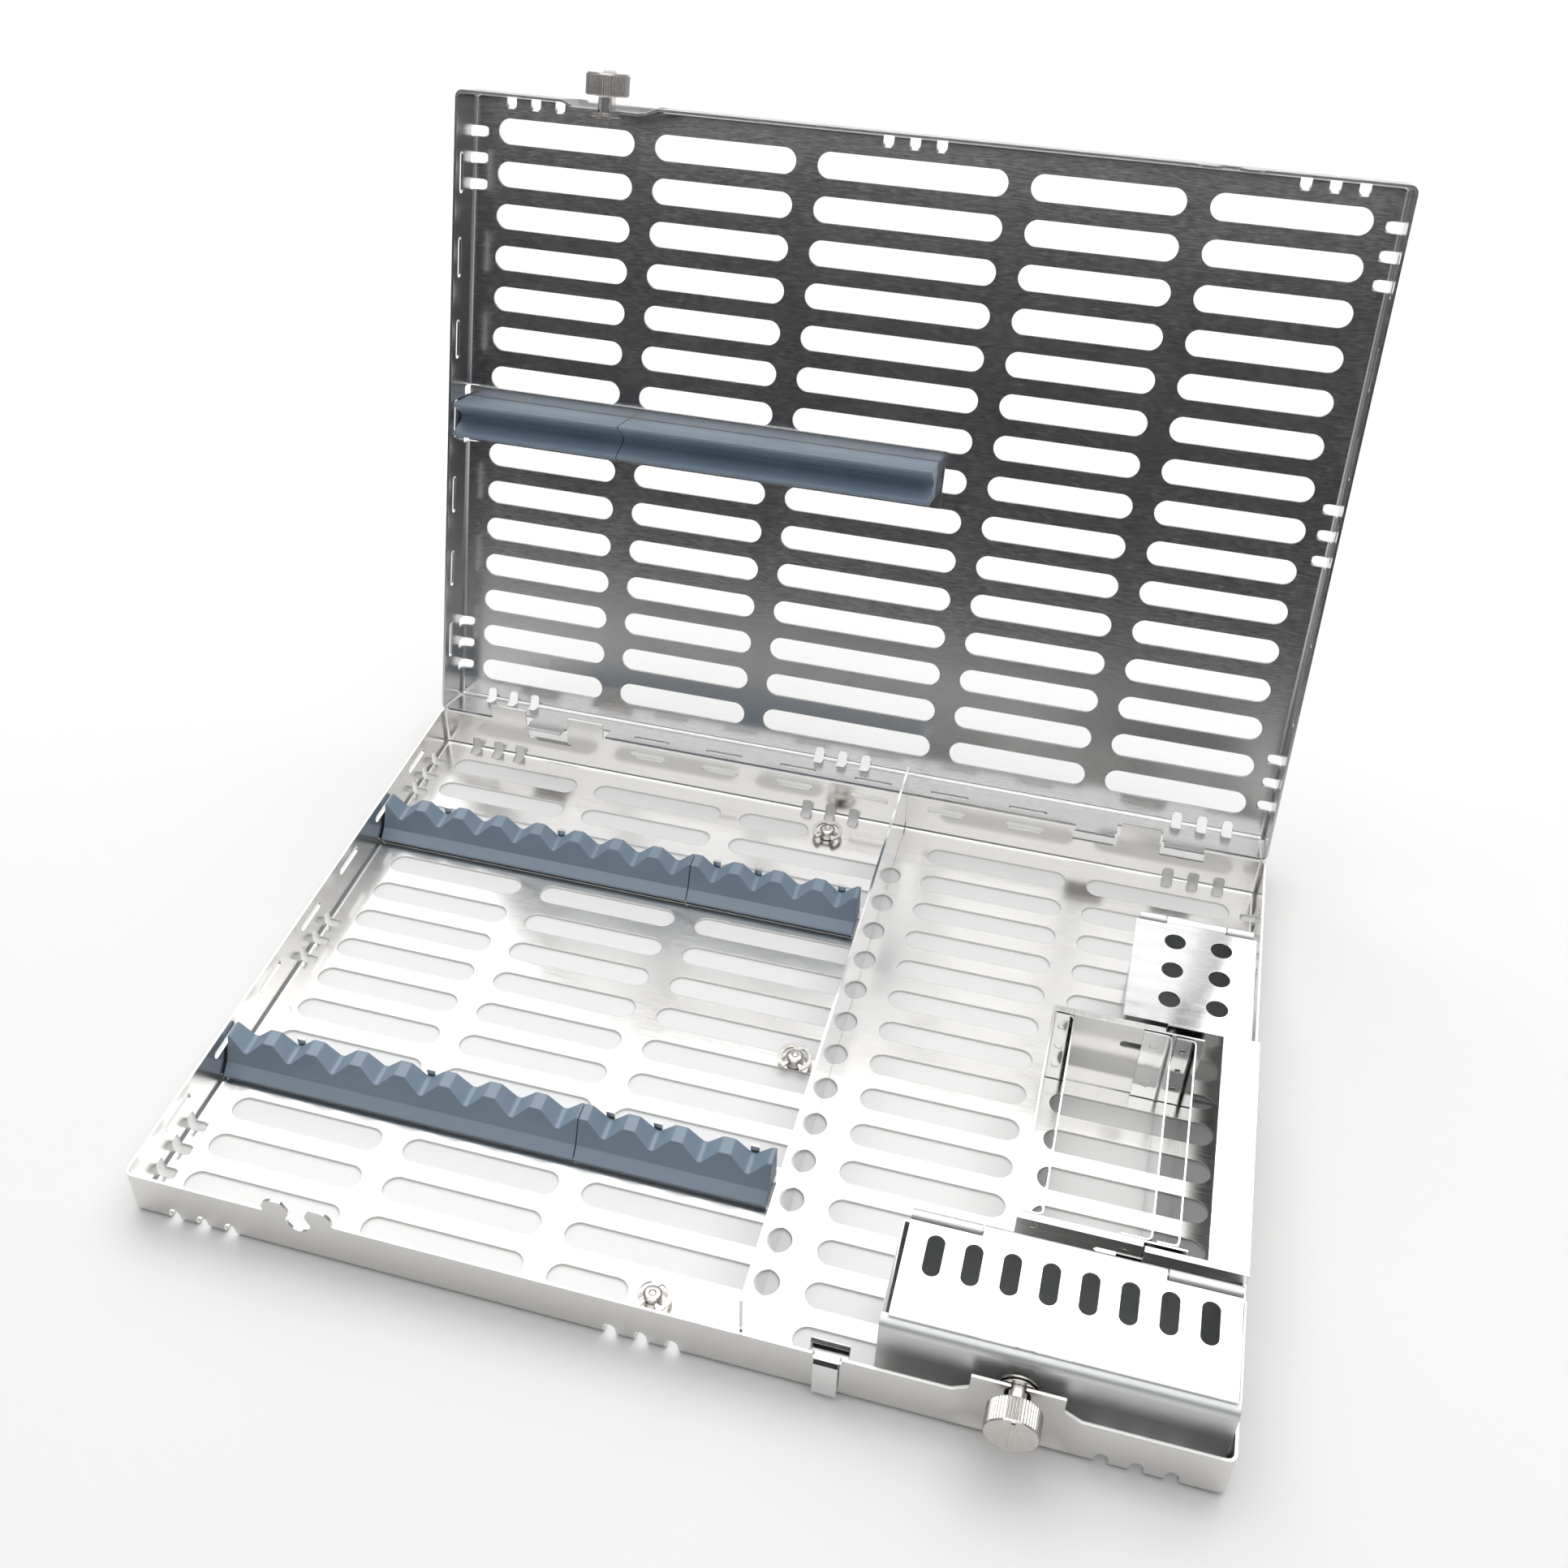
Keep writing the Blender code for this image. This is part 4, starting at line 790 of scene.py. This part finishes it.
def wall_clip():
    """A spring strip over the front wall, rounded at its bends: narrow outside, wide and curled inside."""
    outer = -DEPTH / 2
    inner = outer + SHEET
    stations = (
        (outer - 1.3 * MM, 1.5 * MM, CLIP_NARROW),
        (outer - 1.3 * MM, CLIP_BRIDGE - 1.0 * MM, CLIP_NARROW),
        (outer - 0.6 * MM, CLIP_BRIDGE, CLIP_NARROW),
        (inner + 0.5 * MM, CLIP_BRIDGE, CLIP_NARROW),
        (inner + 0.8 * MM, CLIP_BRIDGE - 0.4 * MM, CLIP_WIDE),
        (inner + 1.0 * MM, CLIP_BRIDGE - 5.6 * MM, CLIP_WIDE),
        (inner + 2.4 * MM, CLIP_BRIDGE - 6.2 * MM, CLIP_WIDE),
        (inner + 3.1 * MM, CLIP_BRIDGE - 0.7 * MM, CLIP_WIDE),
        (inner + 3.7 * MM, CLIP_BRIDGE - 0.1 * MM, CLIP_WIDE),
        (inner + 4.2 * MM, CLIP_BRIDGE - 0.8 * MM, CLIP_WIDE),
    )
    bm = bmesh.new()
    rows = [[bm.verts.new((CLIP_X + side * half, y, z)) for side in (-1, 1)] for y, z, half in stations]
    for first, second in zip(rows, rows[1:]):
        bm.faces.new((first[0], first[1], second[1], second[0]))
    bends = [edge for edge in bm.edges if not edge.is_boundary and abs(edge.calc_face_angle(0)) > 0.2]
    bmesh.ops.bevel(bm, geom=bends, offset=0.25 * MM, segments=3, profile=0.5, affect="EDGES")
    clip = plain_object(bm, "fine_wall_clip")
    strip = clip.modifiers.new("strip", "SOLIDIFY")
    strip.thickness = CLIP_SHEET
    strip.offset = 0.0
    strip.use_even_offset = True
    return finished(settled(clip, BASE_PLACE), "wall_clip", BRIGHT_LOOK)


# ---------------------------------------------------------------- parts box


def marks(places, y, radius, depth):
    """One cutter for each shallow round mark or hole in a face that looks along Y."""
    tools = []
    for x, z in places:
        bm = bmesh.new()
        add_rod(bm, radius, 2 * depth, facing_y(x, y, z), segments=28)
        tools.append(bm)
    return tools


def slit_groups(x, low_y, high_y, z):
    """Groups of fine upright slits through a partition."""
    bm = bmesh.new()
    groups = 5
    for group in range(groups):
        centre = low_y + (high_y - low_y) * (group + 0.5) / groups
        for index in range(SLITS_IN_GROUP):
            y = centre + (index - (SLITS_IN_GROUP - 1) / 2) * SLIT_PITCH
            add_box(bm, (x - MM, y - 0.17 * MM, z - 0.9 * MM), (x + MM, y + 0.17 * MM, z + 0.9 * MM))
    return bm


def parts_box():
    drawer_low, drawer_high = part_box("parts_box_drawer")
    sleeve_low, sleeve_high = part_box("parts_box_sleeve")
    hem_z = drawer_high.z - 1.7 * MM
    ends = (drawer_low.x + 4.0 * MM, sleeve_low.x - 4.5 * MM)
    tools = marks([(x, hem_z) for x in ends], drawer_low.y, WELD_RADIUS, WELD_DEPTH)
    dimples = [(sleeve_low.x - 6.0 * MM, hem_z - 4.4 * MM), (sleeve_low.x - 4.0 * MM, hem_z - 3.0 * MM)]
    tools += marks(dimples, drawer_low.y + 1.7 * MM, 0.7 * MM, WELD_DEPTH)
    refined("parts_box_drawer", BOX_LOOK, tools)
    refined("parts_box_sleeve", BRIGHT_LOOK)
    for side in ("front", "back"):
        refined(f"parts_box_{side}_rivet", TURNED_LOOK)
    for number in (1, 2, 3):
        node = f"parts_box_partition_{number}"
        low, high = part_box(node)
        flange_y = high.y - 0.5 * MM
        x = low.x + 0.42 * (high.x - low.x)
        heights = [low.z + share * (high.z - low.z) for share in (0.22, 0.52, 0.82)]
        depth = 1.2 * MM if number == 3 else WELD_DEPTH
        radius = 0.75 * MM if number == 3 else WELD_RADIUS
        tools = marks([(x, z) for z in heights], flange_y, radius, depth)
        if number > 1:
            slit_z = low.z + 0.3 * (high.z - low.z)
            tools.append(slit_groups(high.x - 0.25 * MM, low.y + SLIT_INSET, high.y - SLIT_INSET, slit_z))
        refined(node, BRIGHT_LOOK, tools)


# ---------------------------------------------------------------- box covers


def covers():
    """The hinged covers, their holes and slots bored round."""
    tools = []
    for x in BUR_HOLES_X:
        for y in BUR_HOLES_Y:
            bm = bmesh.new()
            place = BASE_PLACE @ Matrix.Translation((x, y, COVER_TOP))
            add_rod(bm, BUR_HOLE_RADIUS + HOLE_TRIM, 8 * MM, place, segments=48)
            tools.append(bm)
    refined("bur_box_lid", BRIGHT_LOOK, tools)
    tools = []
    turn = Matrix.Rotation(math.pi / 2, 4, "Z")
    for index in range(COVER_SLOTS):
        bm = bmesh.new()
        x = COVER_SLOT_X + COVER_SLOT_PITCH * index
        place = BASE_PLACE @ Matrix.Translation((x, COVER_SLOT_Y, COVER_TOP)) @ turn
        add_slot(bm, COVER_SLOT_LENGTH + 2 * HOLE_TRIM, COVER_SLOT_WIDTH + 2 * HOLE_TRIM, 8 * MM, place)
        tools.append(bm)
    refined("slotted_box_lid", BRIGHT_LOOK, tools)


# ---------------------------------------------------------------- the object


def look_of(node):
    if node.startswith("lid_") and "carrier" in node:
        return LID_LOOK
    if any(word in node for word in ("knob", "pin")):
        return TURNED_LOOK
    if node == "divider":
        return DIVIDER_LOOK
    if node.endswith("body"):
        return SATIN_LOOK
    if node.endswith("lid"):
        return BRIGHT_LOOK
    return SHEET_LOOK


def instrument_tray():
    last = ROWS_EACH_WAY
    shortened = {}
    for row, label in ((-last, "front"), (last, "back")):
        low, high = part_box(f"{label}_stud")
        shortened[(row, 2)] = (low.x + high.x) / 2 - STUD_BLANK
    pressed_tray(
        "base_tray", BASE_HEIGHT, BASE_TAB_HEIGHTS, BASE_NOTCH_DEPTH, BASE_PLACE, SHEET_LOOK, shortened
    )
    pressed_tray("lid_tray", LID_HEIGHT, LID_TAB_HEIGHTS, LID_NOTCH_DEPTH, LID_TURNED, LID_LOOK)
    knurled_knob("base_knob", BASE_HEIGHT, BASE_PLACE, TURNED_LOOK)
    knurled_knob("lid_knob", LID_HEIGHT, LID_TURNED, TURNED_LOOK)
    for side in ("left", "right"):
        base_strip(f"front_rail_{side}")
        base_strip(f"back_rail_{side}")
        lid_strip(f"lid_rail_{side}")
    for label in ("front", "middle", "back"):
        stud(f"{label}_stud")
        stud_clip(f"{label}_stud_clip", f"{label}_stud")
    wall_clip()
    parts_box()
    covers()
    for node, cad in NODES.items():
        if not cad.hide_render:
            refined(node, look_of(node))


# ---------------------------------------------------------------- studio


def area_light(name, place, target, size, radiance, metal_only=False):
    """A soft panel of even radiance; a metal-only one is a reflector that lights nothing matt."""
    data = bpy.data.lights.new(name, "AREA")
    data.shape = "RECTANGLE"
    data.size, data.size_y = size
    data.energy = radiance * math.pi * size[0] * size[1]
    lamp = bpy.data.objects.new(name, data)
    bpy.context.scene.collection.objects.link(lamp)
    lamp.location = place
    lamp.rotation_euler = (Vector(target) - Vector(place)).to_track_quat("-Z", "Y").to_euler()
    lamp.visible_diffuse = not metal_only


def board(name, size):
    """A square sheet, facing up until it is turned."""
    bm = bmesh.new()
    bmesh.ops.create_grid(bm, x_segments=1, y_segments=1, size=size / 2)
    return plain_object(bm, name)


def floor():
    """A pale, slightly uneven ground."""
    made = board("studio_floor", 12.0)
    look, nodes, links = new_material("pale_floor")
    shader = nodes["Principled BSDF"]
    spread = grain(nodes, links, (3, 3, 3), detail=2)
    colour = tinted(nodes, links, spread, *FLOOR_TINTS)
    links.new(colour, shader.inputs["Base Color"])
    shader.inputs["Roughness"].default_value = 0.8
    shader.inputs["Specular IOR Level"].default_value = 0.2
    made.data.materials.append(look)


def dark_flag(name, place, target, size):
    """A dark board the camera doesn't see; mirrored in the lid, it gives the steel its charcoal tone."""
    made = board(name, 1.0)
    made.location = place
    made.scale = (size[0], size[1], 1.0)
    made.rotation_euler = (Vector(target) - Vector(place)).to_track_quat("-Z", "Y").to_euler()
    look, nodes, links = new_material(f"{name}_cloth")
    nodes["Principled BSDF"].inputs["Base Color"].default_value = (0.03, 0.03, 0.034, 1.0)
    nodes["Principled BSDF"].inputs["Roughness"].default_value = 0.9
    made.data.materials.append(look)
    made.visible_camera = False
    made.visible_shadow = False


def studio():
    world = bpy.data.worlds.new("studio")
    bpy.context.scene.world = world
    world.use_nodes = True
    back = world.node_tree.nodes["Background"]
    back.inputs["Color"].default_value = (0.965, 0.98, 1.0, 1.0)
    back.inputs["Strength"].default_value = 0.42
    centre = (0.0, 0.0, 0.05)
    area_light("softbox", (-0.15, 1.0, 1.35), centre, (2.6, 2.0), 1.25)
    area_light("ceiling", (0.0, 0.3, 2.1), centre, (3.0, 2.8), 0.95)
    area_light("front_reflector", (0.1, -1.25, 1.5), centre, (2.6, 1.5), 1.15, metal_only=True)
    floor()
    dark_flag("front_flag", (0.05, -0.85, 0.25), (0.05, 0.1, 0.25), (2.2, 0.5))
    bpy.context.scene.view_settings.view_transform = "Standard"


def camera():
    """The photograph's own viewpoint."""
    data = bpy.data.cameras.new("camera")
    data.sensor_width = 36.0
    data.lens = CAMERA_LENS
    data.shift_x, data.shift_y = CAMERA_SHIFT
    eye = bpy.data.objects.new("camera", data)
    bpy.context.scene.collection.objects.link(eye)
    yaw = math.radians(CAMERA_YAW)
    pitch = math.radians(CAMERA_PITCH)
    roll = math.radians(CAMERA_ROLL)
    ahead = Vector((math.sin(yaw) * math.cos(pitch), math.cos(yaw) * math.cos(pitch), -math.sin(pitch)))
    level = Vector((math.cos(yaw), -math.sin(yaw), 0.0))
    up = level.cross(ahead)
    right = math.cos(roll) * level + math.sin(roll) * up
    top = -math.sin(roll) * level + math.cos(roll) * up
    turn = Matrix((right, top, -ahead)).transposed().to_4x4()
    eye.matrix_world = Matrix.Translation(CAMERA_PLACE) @ turn
    bpy.context.scene.camera = eye


instrument_tray()
studio()
camera()
